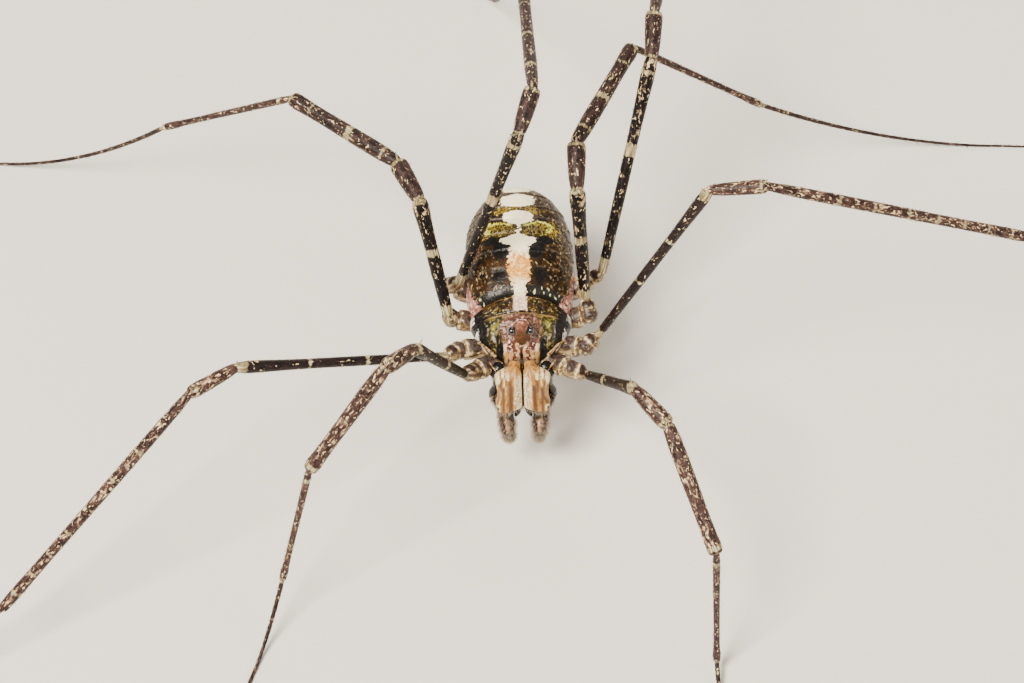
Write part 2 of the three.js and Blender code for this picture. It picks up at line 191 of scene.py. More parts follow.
def new_cuticle(name, colours, roughness, grain, depth, mottle, shine=WAXY_SHINE):
    """Tanned cuticle, a dielectric with a satin shine. Its grain has a size and a depth in mm, and its
    mottle is so many patches to a millimetre, as all scales are: the patterns read places in body
    millimetres, drawn a little out of true so that none looks ruled."""
    material, tree, shader = new_material(name, {
        "Roughness": roughness, "IOR": CUTICLE_IOR, "Specular IOR Level": shine,
    })
    drift = Vector((PATTERN_DRIFT, PATTERN_DRIFT, PATTERN_DRIFT))
    exact = add(tree, "Mapping", {
        "Vector": add(tree, "TexCoord").outputs["Object"],
        "Location": -BODY_ORIGIN / MM - drift / 2,
        "Scale": (1 / MM, 1 / MM, 1 / MM),
    })
    wander = add(tree, "TexNoise", {"Vector": exact, "Scale": 4.0, "Detail": 2.0}).outputs["Color"]
    spot = add(tree, "VectorMath", {0: wander, 1: drift, 2: exact}, operation="MULTIPLY_ADD")
    granules = add(tree, "TexVoronoi", {"Vector": spot, "Scale": 1 / grain})
    folds = add(tree, "TexNoise", {"Vector": spot, "Scale": 0.4 / grain, "Detail": 4.0})
    height = add(tree, "Math", {0: granules, 1: -0.5, 2: folds}, operation="MULTIPLY_ADD")
    bump = add(tree, "Bump", {"Height": height, "Strength": 0.6, "Distance": depth * MM})
    fine = add(tree, "TexNoise", {"Vector": spot, "Scale": mottle, "Detail": 4.0})
    tree.links.new(bump.outputs["Normal"], shader.inputs["Normal"])
    tree.links.new(colours(tree, spot, fine), shader.inputs["Base Color"])
    return material


def along(values, share):
    """The value at share, 0 to 1, of a row of evenly spaced values."""
    place = min(max(share, 0.0), 1.0) * (len(values) - 1)
    index = min(int(place), len(values) - 2)
    return values[index] + (values[index + 1] - values[index]) * (place - index)


def between(points, at):
    """The value at a place in a row of (place, value) points."""
    for (low, start), (high, end) in zip(points, points[1:]):
        if at <= high:
            return start + (end - start) * max(at - low, 0) / (high - low)
    return points[-1][1]


def bell(distance, width):
    """A smooth hump, 1 at no distance and near 0 two widths away."""
    return math.exp(-((distance / width) ** 2))


def ramp(value, start, full):
    """Climbs from 0 at start to 1 at full."""
    return min(max((value - start) / (full - start), 0), 1)


def inside(x, y, *ovals):
    """How deep a place lies in the nearest of some ovals, as a share of its half sizes."""
    return max(1 - math.hypot((x - ox) / wide, (y - oy) / long) for ox, oy, wide, long in ovals)


def facing(turn):
    """How far a place round a skin faces across and up. The turn starts below, out of sight."""
    return math.sin(turn * 2 * math.pi), -math.cos(turn * 2 * math.pi)


def new_skin(*marks):
    """A mesh with a UV map and a float mark for each name."""
    bm = bmesh.new()
    bm.loops.layers.uv.new("SkinMap")
    for name in marks:
        bm.verts.layers.float.new(name)
    return bm


def roll_skin(bm, around, lengthwise, place, marks, girth=1.0, stretch=(0.0, 1.0)):
    """A closed skin: a grid rolled up, each point put where place(turn, share) says. Its map runs
    round the girth and along the stretch of the limb that it covers, in millimetres."""
    grid = bmesh.ops.create_grid(
        bm, x_segments=around, y_segments=lengthwise, size=0.5, calc_uvs=True,
    )
    skin_map = bm.loops.layers.uv["SkinMap"]
    for face in {face for vert in grid["verts"] for face in vert.link_faces}:
        for loop in face.loops:
            uv = loop[skin_map].uv
            loop[skin_map].uv = (uv.x * girth, stretch[0] + uv.y * (stretch[1] - stretch[0]))
    layers = dict(bm.verts.layers.float.items())
    for vert in grid["verts"]:
        turn, share = vert.co.x + 0.5, vert.co.y + 0.5
        vert.co = place(turn, share)
        for name, value in marks(vert.co, turn, share).items():
            vert[layers[name]] = value
    bmesh.ops.remove_doubles(bm, verts=grid["verts"], dist=WELD)


def add_piece(name, mesh, material, slot, *nodes):
    """Puts a mesh in the frame as a smooth piece that stands for the nodes."""
    mesh.shade_smooth()
    mesh.materials.append(material)
    made = add_object(name, mesh)
    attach(made, "root")
    if nodes:
        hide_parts(*nodes)


def finish_piece(name, bm, material, slot, *nodes):
    """Turns a mesh in body millimetres into a finished piece of the frame."""
    bmesh.ops.recalc_face_normals(bm, faces=bm.faces)
    to_frame = Matrix.Translation(BODY_ORIGIN) @ Matrix.Scale(MM, 4)
    bmesh.ops.transform(bm, matrix=to_frame, verts=bm.verts)
    mesh = bpy.data.meshes.new(name)
    bm.to_mesh(mesh)
    bm.free()
    add_piece(name, mesh, material, slot, *nodes)


def rear_size(size, y):
    full, at_seam, reach = size
    return full * (at_seam + (1 - at_seam) * math.sin(min(y / reach, 1) * math.pi / 2))


def rear_place(turn, share):
    if share < REAR_FACE:
        y, reach, lift = SEAM_GAP, 0.97 * share / REAR_FACE, 1
    else:
        angle = (share - REAR_FACE) / (1 - REAR_FACE) * math.pi / 2
        length = REAR_LENGTH - END_GAP - SEAM_GAP
        y = SEAM_GAP + length * math.sin(angle) ** (2 / REAR_ROUND_ALONG)
        reach = max(math.cos(angle), 0.0) ** (2 / REAR_ROUND_ACROSS)
        lift = max(math.cos(angle), 1e-6) ** (2 / REAR_ROUND_ABOVE - 2 / REAR_ROUND_ACROSS)
    across, high = facing(turn)
    x = across * rear_size(REAR_WIDTH, y) * reach
    z = high * (rear_size(REAR_TOP, y) * lift if high > 0 else rear_size(REAR_BOTTOM, y)) * reach
    end = min(TERGITES, key=lambda at: abs(y - at))
    plates = sum(height * bell(y - end - behind, wide) for height, behind, wide in PLATE_END)
    pleats = PLEAT_DEPTH * (math.cos(y * PLEATS_A_RADIAN + 2 * math.sin(turn * 40)) - 1)
    upper = ramp(high, -0.05, 0.15)
    uneven = sum(noise.noise(Vector((x, y, z)) * bumps) * height for bumps, height in SKIN_UNEVEN)
    swell = 1 + (plates * upper + pleats * (1 - upper) + uneven) * min(1, reach * 2) / 1.9
    y -= SEAM_CURVE * max(0, 1 - y / SEAM_FADE) * x * x
    return Vector((x * swell, y, z * swell))


def rear_marks(at, turn, share):
    """How deep a place lies in each patch, and below 0 outside it; all in mm where not said."""
    side = abs(at.x)
    behind = at.y + SEAM_CURVE * max(0, 1 - at.y / SEAM_FADE) * at.x * at.x
    crest_x, crest_y, _, crest_length = CREST
    slanted = at.y - CREST_SLANT * (side - crest_x)
    blotch = inside(side, at.y, *BLOTCHES)
    upper = at.z > 0
    ridge = max(0.05 - abs(behind - end + 0.05 * math.sin(side * 4)) for end in TERGITES)
    ochre = bell(behind - 3.9, 0.28) * (1.3 - side)
    return {
        "stem": between(STEM, behind) - side if upper else -1,
        "crest": inside(side, slanted, CREST) * crest_length if upper else -1,
        "arched": slanted - crest_y + 0.5 * (side - crest_x),
        "blotch": blotch * 0.4,
        "flank": min(0.85 - at.z - 0.3 * behind, side - 1.5),
        "under": -at.z - 0.1,
        # The share of the granules and dashes that are pale: few at the stripe, many at the sides
        "speckled": 0.13 + 0.62 * ramp(side, 0.6, 1.6) - 1.2 * max(0, blotch + 0.1),
        "ridge": ridge if upper else -1,
        "ochre": ochre + bell(behind - 3.1, 0.5) * bell(side - 1.4, 0.3) * 0.7,
        "behind": behind,
    }


def belly_colours(tree, wavy, fine):
    """Soft skin without tan, which is pale brown with a faint mottle."""
    return paint(tree, "#b7a083", (wavy, 0.48, 0.6, "#7b624c"), (fine, 0.6, 0.66, "#e0cfb3"))


def back_colours(tree, spot, fine):
    """Thick, dark tanned plates with granules, over white, peach and yellow pigment that shows where
    the tan is left out. The eye sees a near-black satin back with ragged bright patches."""
    broad = add(tree, "TexNoise", {"Vector": spot, "Scale": 1.7, "Detail": 2.0})
    wavy = add(tree, "TexNoise", {"Vector": spot, "Scale": 5.0, "Detail": 2.0, "Distortion": 1.5})
    # Granules 0.12 mm apart, and dashes 0.13 by 0.33 mm that run lengthwise
    grains = add(tree, "TexVoronoi", {"Vector": spot, "Scale": 8.0})
    lengthwise = add(tree, "Mapping", {"Vector": spot, "Scale": (7.5, 3.0, 4.0)})
    dashes = add(tree, "TexVoronoi", {"Vector": lengthwise, "Scale": 1.0})
    net = add(tree, "TexVoronoi", {"Vector": spot, "Scale": 7.0}, feature="DISTANCE_TO_EDGE")
    veins = add(tree, "TexVoronoi", {"Vector": spot, "Scale": 9.0}, feature="DISTANCE_TO_EDGE")
    cells = add(tree, "TexVoronoi", {"Vector": spot, "Scale": 5.0})
    behind = add(tree, "Attribute", attribute_name="behind")
    speckled = add(tree, "Attribute", attribute_name="speckled")

    def chosen(cells, small, large, share):
        """Round specks in some of the cells: small to large sets their size, share how many."""
        pick = add(tree, "SeparateColor", {"Color": cells.outputs["Color"]})
        over = add(tree, "Math", {0: share, 1: pick}, operation="SUBTRACT")
        kept = add(tree, "MapRange", {"Value": over, "From Min": 0.0, "From Max": 0.1})
        disc = add(tree, "MapRange", {"Value": cells, "From Min": large, "From Max": small})
        return add(tree, "Math", {0: disc, 1: kept}, operation="MULTIPLY")

    ochre = paint(tree, "#1f1205", (net, 0.14, 0.05, "#8d7420"), (fine, 0.6, 0.68, "#cfc06a"))
    seam_band = paint(tree, "#0d0b08", (chosen(dashes, 0.12, 0.36, wavy), 0.3, 0.7, "#c9cf95"))
    flank = paint(tree, "#e2beb0", (cells, 0.25, 0.55, "#9a6459"), (fine, 0.56, 0.62, "#5e3d37"))
    crest = paint(tree, "#261705", (net, 0.1, 0.03, "#8f7c26"), (fine, 0.62, 0.68, "#ddd07a"))
    bright_rim = paint(tree, "#a0a620", (wavy, 0.42, 0.52, "#dfdb44"), (fine, 0.6, 0.66, "#eeeab0"))
    crest_rim = paint(
        tree, "#2b1c08",
        (wavy, 0.5, 0.56, "#8c8a22"),
        (frayed(tree, "arched", wavy, 0.5), -0.08, 0.06, bright_rim),
    )
    peach = paint(tree, "#d8973c", (veins, 0.08, 0.02, "#a4601f"), (wavy, 0.52, 0.6, "#efc678"))
    ragged_behind = add(tree, "Math", {0: behind, 1: wavy}, operation="ADD")
    stem = paint(
        tree, "#fff5d2",
        (net, 0.06, 0.015, "#d2b778"),
        (wavy, 0.6, 0.66, "#e2cb8c"),
        (fine, 0.6, 0.67, "#94793f"),
        (ragged_behind, PEACH_FROM + 0.4, PEACH_FROM + 0.7, peach),
        (ragged_behind, PEACH_TO + 0.3, PEACH_TO + 0.65, "#fff5d2"),
    )
    return paint(
        tree, "#0f0802",
        (broad, 0.42, 0.6, "#2b1904"),
        (wavy, 0.56, 0.64, "#472c09"),
        (frayed(tree, "ridge", wavy, 0.16), 0.0, 0.06, "#54493a"),
        (chosen(grains, 0.22, 0.5, speckled), 0.2, 0.7, "#6a5b41"),
        (chosen(dashes, 0.14, 0.36, speckled), 0.3, 0.8, "#a39475"),
        (frayed(tree, "ochre", fine, 0.9), 0.3, 0.4, ochre),
        (off(tree, behind, 0.27), 0.24, 0.18, seam_band),
        (frayed(tree, "blotch", fine, 0.3), 0.0, 0.08, "#070504"),
        (frayed(tree, "flank", fine, 0.5), 0.0, 0.06, flank),
        (frayed(tree, "under", wavy, 0.6), 0.0, 0.1, belly_colours(tree, wavy, fine)),
        (frayed(tree, "crest", fine, 0.34), 0.0, 0.02, crest_rim),
        (frayed(tree, "crest", wavy, 0.5), 0.08, 0.11, crest),
        (frayed(tree, "stem", fine, 0.55), -0.01, 0.03, stem),
    )


bm = new_skin(
    "stem", "crest", "arched", "blotch", "flank", "under", "speckled", "ridge", "ochre", "behind",
)
roll_skin(bm, REAR_SIDES, REAR_ROWS, rear_place, rear_marks)
back_cuticle = new_cuticle(
    "back_cuticle", back_colours, roughness=0.36, grain=0.11, depth=0.035, mottle=8.0,
)
finish_piece("back", bm, back_cuticle, "back_cuticle", "opisthosoma")


# The shield over the front half, the carapace: one hard arched plate, widest behind its middle, with
# a rolled rim. A groove crosses it behind the eyes, and two pale spurs stand at each front corner.
FRONT_LENGTH = 2.4
FRONT_HALF_WIDTH = 2.03
FRONT_TOP = 1.3
FRONT_EDGE_HALF_WIDTH = 0.64
FRONT_EDGE_TOP = 0.56
SHIELD_UNDERSIDE = 0.5
SHIELD_SIDES, SHIELD_ROWS = 280, 200
END_FACE = 0.06  # share of the rows on each end face
CROSS_GROOVE = 0.74  # how far the groove lies in front of the seam
FURROW_X = 0.87
BAND_X = 0.64  # the pale ridge between the furrow and the middle
# Humps: height, x, y, half the width and half the length
HUMPS = ((0.1, 0.0, -1.6, 0.6, 0.5), (0.08, 0.6, -2.26, 0.13, 0.13), (0.04, 0.42, -1.94, 0.1, 0.1))
# Half the width of the mauve middle at each distance along the body
MAUVE = ((-2.5, 0.62), (-2.2, 0.7), (-1.8, 0.78), (-1.35, 0.86), (-0.95, 0.72), (-0.7, 0.5))
# Ovals of each mark: x, y, half the width and half the length
SHIELD_OVALS = {
    "gland": ((1.88, -0.98, 0.18, 0.22),),
    "furrow": ((0.86, -2.05, 0.15, 0.36), (0.94, -1.7, 0.07, 0.22), (0.0, -2.36, 0.07, 0.22)),
    "yellow": ((1.1, -1.2, 0.16, 0.24), (0.98, -1.52, 0.09, 0.14), (1.25, -0.86, 0.2, 0.1)),
    "grey": (
        (1.34, -1.35, 0.07, 0.3), (1.1, -1.62, 0.07, 0.18),
        (1.55, -1.1, 0.06, 0.22), (0.88, -2.0, 0.04, 0.06),
    ),
    "knob": ((0.44, -2.02, 0.12, 0.2),),
}
# Each spur's middle line and its radius from root to tip
SPURS = (
    (((1.78, -1.42, 0.12), (1.5, -1.72, 0.34), (1.22, -2.06, 0.4), (1.02, -2.28, 0.36)),
     (0.03, 0.05, 0.06, 0.085)),
    (((1.42, -2.12, 0.0), (1.26, -2.42, 0.1), (1.08, -2.68, 0.08), (0.98, -2.88, 0.0)),
     (0.055, 0.045, 0.035, 0.015)),
)
SPUR_LENGTH, SPUR_RADIUS = 1.1, 0.1
SPUR_SIDES, SPUR_ROWS = 12, 30


def depth_inside(x, y, *ovals):
    """How deep a place lies in the nearest of some ovals, in mm."""
    return max(inside(x, y, oval) * min(oval[2:]) for oval in ovals)


def mirrored(side, place):
    return Vector((side * place[0], place[1], place[2]))


def straight(start, end):
    """A straight axis: the place, the way ahead, the side and the upper side at each share."""
    ahead = (end - start).normalized()
    side = ahead.cross(Vector((0, 0, 1))).normalized()
    above = side.cross(ahead)
    return lambda share: (start.lerp(end, share), ahead, side, above)


def curved(points, side=1):
    """An axis along a smooth curve through a few points, on one side of the body."""
    points = [mirrored(side, point) for point in points]
    fine = []
    for before, first, second, after in zip(
        [points[0]] + points, points, points[1:], points[2:] + [points[-1]],
    ):
        for t in np.linspace(0, 1, 12, endpoint=False):
            fine.append(0.5 * (
                2 * first + (second - before) * t + (2 * before - 5 * first + 4 * second - after) * t * t
                + (3 * first - before - 3 * second + after) * t ** 3
            ))
    fine.append(points[-1])
    steps = [(b - a).length for a, b in zip(fine, fine[1:])]
    stations = np.concatenate(([0.0], np.cumsum(steps))) / sum(steps)
    columns = list(zip(*fine))

    def spot(share):
        return Vector([float(np.interp(share, stations, column)) for column in columns])

    def axis(share):
        ahead = (spot(min(share + 0.03, 1)) - spot(max(share - 0.03, 0))).normalized()
        across = ahead.cross(Vector((0, 0, 1)))
        across = across.normalized() if across.length > 0.05 else Vector((1, 0, 0))
        return spot(share), ahead, across, across.cross(ahead)

    return axis


def limb_place(axis, radius_at, flat=1.0, shift=None, square=2.0):
    """A limb about an axis, as flat and as square as told, with each point shifted if told."""
    @functools.cache
    def row(share):
        return (*axis(share), radius_at(share))

    def place(turn, share):
        centre, _, side, above, radius = row(share)
        across, up = facing(turn)
        reach = radius / (abs(across) ** square + abs(up) ** square) ** (1 / square)
        spot = centre + reach * across * side + reach * flat * up * above
        return spot + shift(turn, share, side, above) if shift else spot

    return place


def round_ends(share, length, radius, start=1.0, end=1.0):
    """Closes a limb's ends with shallow domes; start and end scale the domes' depth."""
    low = min(1.0, share * length / (0.5 * radius * start))
    high = min(1.0, (1 - share) * length / (0.5 * radius * end))
    return math.sqrt(max(0.0, 1 - (1 - low) ** 2)) * math.sqrt(max(0.0, 1 - (1 - high) ** 2))


def shield_width(y):
    """Half the width at y; the two curves meet softly at the front corners."""
    rounded = FRONT_HALF_WIDTH * math.sqrt(max(0.0, 1 - min(-y / FRONT_LENGTH, 1) ** 2.4))
    return (rounded ** 6 + FRONT_EDGE_HALF_WIDTH ** 6) ** (1 / 6)


def from_seam(x, y):
    """How far a place lies in front of the curved seam."""
    return -(y + SEAM_CURVE * max(0, 1 + y / SEAM_FADE) * x * x)


def shield_relief(x, y):
    """How far the humps, the grooves, the ridges, the rolled rim and small bumps stand out."""
    side = abs(x)
    relief = sum(
        height * bell(math.hypot((side - hump_x) / wide, (y - hump_y) / long), 1)
        for height, hump_x, hump_y, wide, long in HUMPS
    )
    relief -= 0.05 * bell(from_seam(x, y) - CROSS_GROOVE, 0.05)
    relief -= 0.13 * bell(side - FURROW_X, 0.09) * ramp(-y, 1.3, 1.6)
    relief -= 0.1 * bell(x, 0.06) * max(0, -y - 2.1) / 0.2
    relief += 0.06 * bell(side - BAND_X, 0.07) * ramp(-y, 1.85, 2.05)
    relief += 0.04 * bell(side - shield_width(y) + 0.05, 0.05)
    relief += 0.05 * noise.noise(Vector((x * 2.4, y * 2.4, 3)))
    return relief + 0.03 * noise.noise(Vector((x * 7, y * 7, 1)))


def shield_place(turn, share):
    reach = min(share, 1 - share) / END_FACE
    reach = 0.96 * reach if reach < 1 else 1
    length = FRONT_LENGTH - END_GAP - SEAM_GAP
    y = -SEAM_GAP - length * ramp(share, END_FACE, 1 - END_FACE)
    across, high = facing(turn)
    top = FRONT_TOP + (FRONT_EDGE_TOP - FRONT_TOP) * (-y / FRONT_LENGTH) ** 2.5
    x = across * shield_width(y) * reach
    z = high * (top if high > 0 else SHIELD_UNDERSIDE) * reach
    if high > 0.02:
        z += shield_relief(x, y) * min(1, high * 3) * reach
    y -= SEAM_CURVE * max(0, 1 + y / SEAM_FADE) * x * x
    return Vector((x, y, z))


def shield_marks(at, turn, share):
    side = abs(at.x)
    ahead = from_seam(at.x, at.y)
    marks = {name: depth_inside(side, at.y, *ovals) for name, ovals in SHIELD_OVALS.items()} | {
        "mauve": min(between(MAUVE, at.y) - side, ahead - 0.76),
        "stem": min(0.29 - side, 0.68 - ahead),
        "pale_band": 0.08 - abs(side - BAND_X) - max(0, 1.95 - ahead) * 2,
        "lobe": 0.1 - math.hypot(side - 0.6, at.y + 2.28),
    }
    if at.z <= -0.05:
        marks = dict.fromkeys(marks, -1)
    return marks | {"ahead": ahead, "rise": at.z + 0.6 * max(0, ahead - 1.15), "spur": -1}


def shield_colours(tree, spot, fine):
    """Thick tanned cuticle. The eye sees a dark olive plate with worn yellow and grey streaks, a mauve
    middle where thin tan lies over pale flesh, a chalky edge and horn-coloured spurs."""
    broad = add(tree, "TexNoise", {"Vector": spot, "Scale": 2.6, "Detail": 3.0})
    wavy = add(tree, "TexNoise", {"Vector": spot, "Scale": 4.0, "Detail": 3.0, "Distortion": 1.6})
    # Streaks about 0.15 by 0.5 mm that run lengthwise
    lengthwise = add(tree, "Mapping", {"Vector": spot, "Scale": (7.5, 2.2, 4.0)})
    streaks = add(tree, "TexNoise", {"Vector": lengthwise, "Scale": 0.9, "Detail": 3.0})
    net = add(tree, "TexVoronoi", {"Vector": spot, "Scale": 4.5}, feature="DISTANCE_TO_EDGE")
    blobs = add(tree, "TexVoronoi", {"Vector": spot, "Scale": 5.0})
    stripes = add(tree, "TexWave", {
        "Vector": spot, "Scale": 1.05, "Distortion": 1.3, "Detail": 2.0,
    }, bands_direction="X")
    ahead = add(tree, "Attribute", attribute_name="ahead")
    rise = add(tree, "Attribute", attribute_name="rise")
    on_spur = add(tree, "Attribute", attribute_name="spur")
    ragged_rise = add(tree, "Math", {0: fine, 1: 0.3, 2: rise}, operation="MULTIPLY_ADD")

    rear = paint(
        tree, "#150c04",
        (wavy, 0.46, 0.56, "#3f2b0e"),
        (blobs, 0.26, 0.16, "#7d6e26"),
        (fine, 0.62, 0.68, "#b9ac6a"),
    )
    edge = paint(tree, "#f0ece0", (fine, 0.56, 0.6, "#5c5148"), (wavy, 0.58, 0.62, "#c9a08f"))
    front = paint(tree, "#54301f", (stripes, 0.45, 0.75, "#a97f58"), (fine, 0.58, 0.64, "#d9c2a0"))
    knob = paint(tree, "#4f2420", (fine, 0.56, 0.6, "#ecdcd0"))
    mauve = paint(
        tree, "#331d14",
        (fine, 0.4, 0.56, "#5f3c2d"),
        (wavy, 0.56, 0.64, "#8d6851"),
        (net, 0.035, 0.01, "#7d5c4c"),
        (fine, 0.62, 0.68, "#d2b294"),
        (blobs, 0.14, 0.08, "#1c1013"),
        (ahead, 1.86, 1.96, front),
        (frayed(tree, "knob", fine, 0.1), 0.0, 0.02, knob),
        (frayed(tree, "pale_band", wavy, 0.14), 0.0, 0.03, "#d2b092"),
    )
    stem = paint(tree, "#e2cdb8", (net, 0.06, 0.02, "#a47a62"), (wavy, 0.56, 0.62, "#b98c6a"))
    spur = paint(tree, "#7d6038", (fine, 0.42, 0.55, "#b99d6c"), (wavy, 0.55, 0.6, "#4a3320"))
    return paint(
        tree, "#0f0c06",
        (broad, 0.4, 0.6, "#33290d"),
        (wavy, 0.5, 0.58, "#6a5b22"),
        (streaks, 0.57, 0.64, "#918656"),
        (frayed(tree, "yellow", wavy, 0.5), 0.0, 0.06, "#6c6622"),
        (frayed(tree, "yellow", fine, 0.5), 0.1, 0.14, "#a69e48"),
        (frayed(tree, "grey", wavy, 0.3), 0.0, 0.05, "#8d8872"),
        (frayed(tree, "grey", fine, 0.3), 0.06, 0.1, "#cbc6b4"),
        (ahead, 0.78, 0.72, rear),
        (off(tree, ahead, SEAM_GAP), 0.03, 0.012, "#86683a"),
        (off(tree, ahead, CROSS_GROOVE + 0.03), 0.03, 0.012, "#86683a"),
        (ragged_rise, 1.12, 0.95, "#080706"),
        (ragged_rise, 0.66, 0.6, edge),
        (ragged_rise, 0.02, -0.12, belly_colours(tree, wavy, fine)),
        (frayed(tree, "gland", fine, 0.03), 0.0, 0.02, "#14121a"),
        (frayed(tree, "mauve", fine, 0.34), -0.02, 0.05, mauve),
        (frayed(tree, "stem", fine, 0.22), -0.01, 0.04, stem),
        (frayed(tree, "furrow", fine, 0.08), 0.0, 0.03, "#0c0b0f"),
        (frayed(tree, "lobe", fine, 0.06), -0.02, 0.03, "#a58049"),
        (on_spur, 0.4, 0.6, spur),
    )


bm = new_skin("ahead", "rise", "mauve", "stem", "pale_band", "lobe", "spur", *SHIELD_OVALS)
roll_skin(bm, SHIELD_SIDES, SHIELD_ROWS, shield_place, shield_marks)
for side in (1, -1):
    for line, radii in SPURS:
        spur_place = limb_place(
            curved(line, side),
            lambda share: along(radii, share) * round_ends(share, SPUR_LENGTH, SPUR_RADIUS),
        )
        roll_skin(bm, SPUR_SIDES, SPUR_ROWS, spur_place,
                  lambda at, turn, share: {"spur": 1, "mauve": -1, "gland": -1})
shield_cuticle = new_cuticle(
    "shield_cuticle", shield_colours, roughness=0.33, grain=0.13, depth=0.03, mottle=8.0,
)
finish_piece("shield", bm, shield_cuticle, "shield_cuticle", "prosoma")


# The coxae, the fixed first joints of the legs: eight short barrels that fan out from the midline
# of the underside. Each is pale with brown patches and ends in a thickened rim round the next joint.
LEG_ROOTS = {1: (1.95, -2.7), 2: (2.55, -1.7), 3: (2.75, -0.2), 4: (2.75, 1.34)}
COXA_INNER_X, COXA_INNER_Z = 0.45, -0.62
COXA_INNER_SHARE, COXA_INNER_SHIFT = 0.45, -0.35  # the inner end's y, from that of the leg root
COXA_INSET = 0.2  # how far the coxa ends before the leg root
COXA_RADIUS = 0.44
COXA_SWELLING = (0.8, 0.95, 1.02, 1.03, 0.96, 0.88, 1.0, 0.94)
COXA_ROWS = 56
COXA_MAP_STEP = 5  # how far the map of one starts after the last
LIMB_SIDES = 30


def leg_root(side, pair):
    return mirrored(side, (*LEG_ROOTS[pair], 0))


def drawn_out(tree, across, lengthwise, detail, distortion=0.0):
    """A noise on a limb's own map, with so many patches to a millimetre round it and along it."""
    skin = add(tree, "UVMap", uv_map="SkinMap")
    stretched = add(tree, "Mapping", {"Vector": skin, "Scale": (across, lengthwise, 1.0)})
    return add(tree, "TexNoise", {
        "Vector": stretched, "Scale": 1.0, "Detail": detail, "Distortion": distortion,
    })


def root_colours(tree, spot, fine):
    """Thin tanned cuticle over pale flesh. The eye sees a cream mottle, drawn out along the limb in
    patches 0.2 by 0.6 mm, with a brown patch above and a pale rim."""
    streaks = drawn_out(tree, 4.5, 1.8, 3.0, 0.5)
    spots = add(tree, "TexVoronoi", {"Vector": spot, "Scale": 4.2})
    patch = paint(tree, "#241916", (fine, 0.4, 0.58, "#4b3d38"), (spots, 0.22, 0.12, "#8f7858"))
    return paint(
        tree, "#4b3827",
        (streaks, 0.38, 0.5, "#86704d"),
        (streaks, 0.54, 0.62, "#bfa983"),
        (spots, 0.3, 0.18, "#e2d5b5"),
        (fine, 0.57, 0.63, "#3d2c20"),
        (frayed(tree, "patch", fine, 0.2), 0.0, 0.06, patch),
        (frayed(tree, "dark_patch", fine, 0.2), 0.0, 0.06, "#261512"),
        (frayed(tree, "rim", streaks, 0.1), 0.0, 0.02, "#d3bf94"),
    )


root_cuticle = new_cuticle(
    "leg_root_cuticle", root_colours, roughness=0.38, grain=0.1, depth=0.025, mottle=9.0,
)
bm = new_skin("patch", "dark_patch", "rim")
for side in (1, -1):
    for pair in LEG_ROOTS:
        root = leg_root(side, pair)
        inner_y = root.y * COXA_INNER_SHARE + COXA_INNER_SHIFT
        inner = Vector((side * COXA_INNER_X, inner_y, COXA_INNER_Z))
        end = root - COXA_INSET * (root - inner).normalized()
        length = (end - inner).length

        def coxa_radius(share):
            ends = round_ends(share, length, COXA_RADIUS, end=0.35)
            return COXA_RADIUS * along(COXA_SWELLING, share) * ends

        def coxa_marks(at, turn, share):
            below = (1 - facing(turn)[1]) * 0.5
            return {
                "patch": 0.26 - math.hypot((share - 0.76) * length / 1.4, below),
                "dark_patch": -1,
                "rim": 0.03 - abs(share - 0.95) * length,
            }

        map_start = pair * COXA_MAP_STEP
        roll_skin(bm, LIMB_SIDES, COXA_ROWS, limb_place(straight(inner, end), coxa_radius), coxa_marks,
                  COXA_RADIUS * 2 * math.pi, (map_start, map_start + length))
finish_piece("coxae", bm, root_cuticle, "shield_cuticle", "prosoma")


# The eye mound: a low block of cuticle behind the front edge, with one eye let into each side.
# Each eye is a single glossy lens, black all through, in a thin raised ring.
MOUND_Y = -1.71
MOUND_MIDDLE, MOUND_TOP = 1.38, 1.97
MOUND_HALF_WIDTH, MOUND_HALF_LENGTH = 0.34, 0.37
MOUND_SIDES, MOUND_ROWS = 96, 64
RIM_Y, RIM_WAVE, RIM_RATE = -1.42, 0.07, 13  # the wavy rim at its back: place, depth and radians a mm
EYE_PLACE = (0.37, -1.88, 1.72)
EYE_RADIUS = 0.19
EYE_SQUEEZE = (0.86, 1.0, 1.08)


def behind_rim(x, y):
    """How far a place lies behind the wavy rim at the back of the mound."""
    return y - RIM_Y - RIM_WAVE * math.cos(x * RIM_RATE)


def mound_place(turn, share):
    tilt = share * math.pi
    ring = math.sin(tilt) ** 0.5
    across, backward = facing(turn)
    x = MOUND_HALF_WIDTH * ring * across
    y = MOUND_Y + MOUND_HALF_LENGTH * ring * backward
    z = MOUND_MIDDLE - math.cos(tilt) * (MOUND_TOP - MOUND_MIDDLE)
    furrow = 0.04 * bell(x, 0.08) if z > MOUND_MIDDLE else 0
    spot = Vector((x, y, z - furrow))
    eye = mirrored(math.copysign(1, x), EYE_PLACE)
    lift = 0.03 * bell((spot - eye).length - EYE_RADIUS * 1.25, 0.04)
    lift += 0.05 * bell(behind_rim(x, y), 0.05)
    lift += 0.05 * noise.noise(spot * 5) + 0.03 * noise.noise(spot * 12)
    outward = Vector((x, y - MOUND_Y, 0.3 * (z - MOUND_MIDDLE)))
    return spot + outward.normalized() * lift if outward.length > 0.01 else spot


def mound_marks(at, turn, share):
    eye = (Vector((abs(at.x), at.y, at.z)) - Vector(EYE_PLACE)).length
    return {
        "wavy_rim": 0.07 - abs(behind_rim(at.x, at.y)) if at.z > 1.4 else -1,
        "eye_ring": 0.03 - abs(eye - EYE_RADIUS * 1.12),
    }


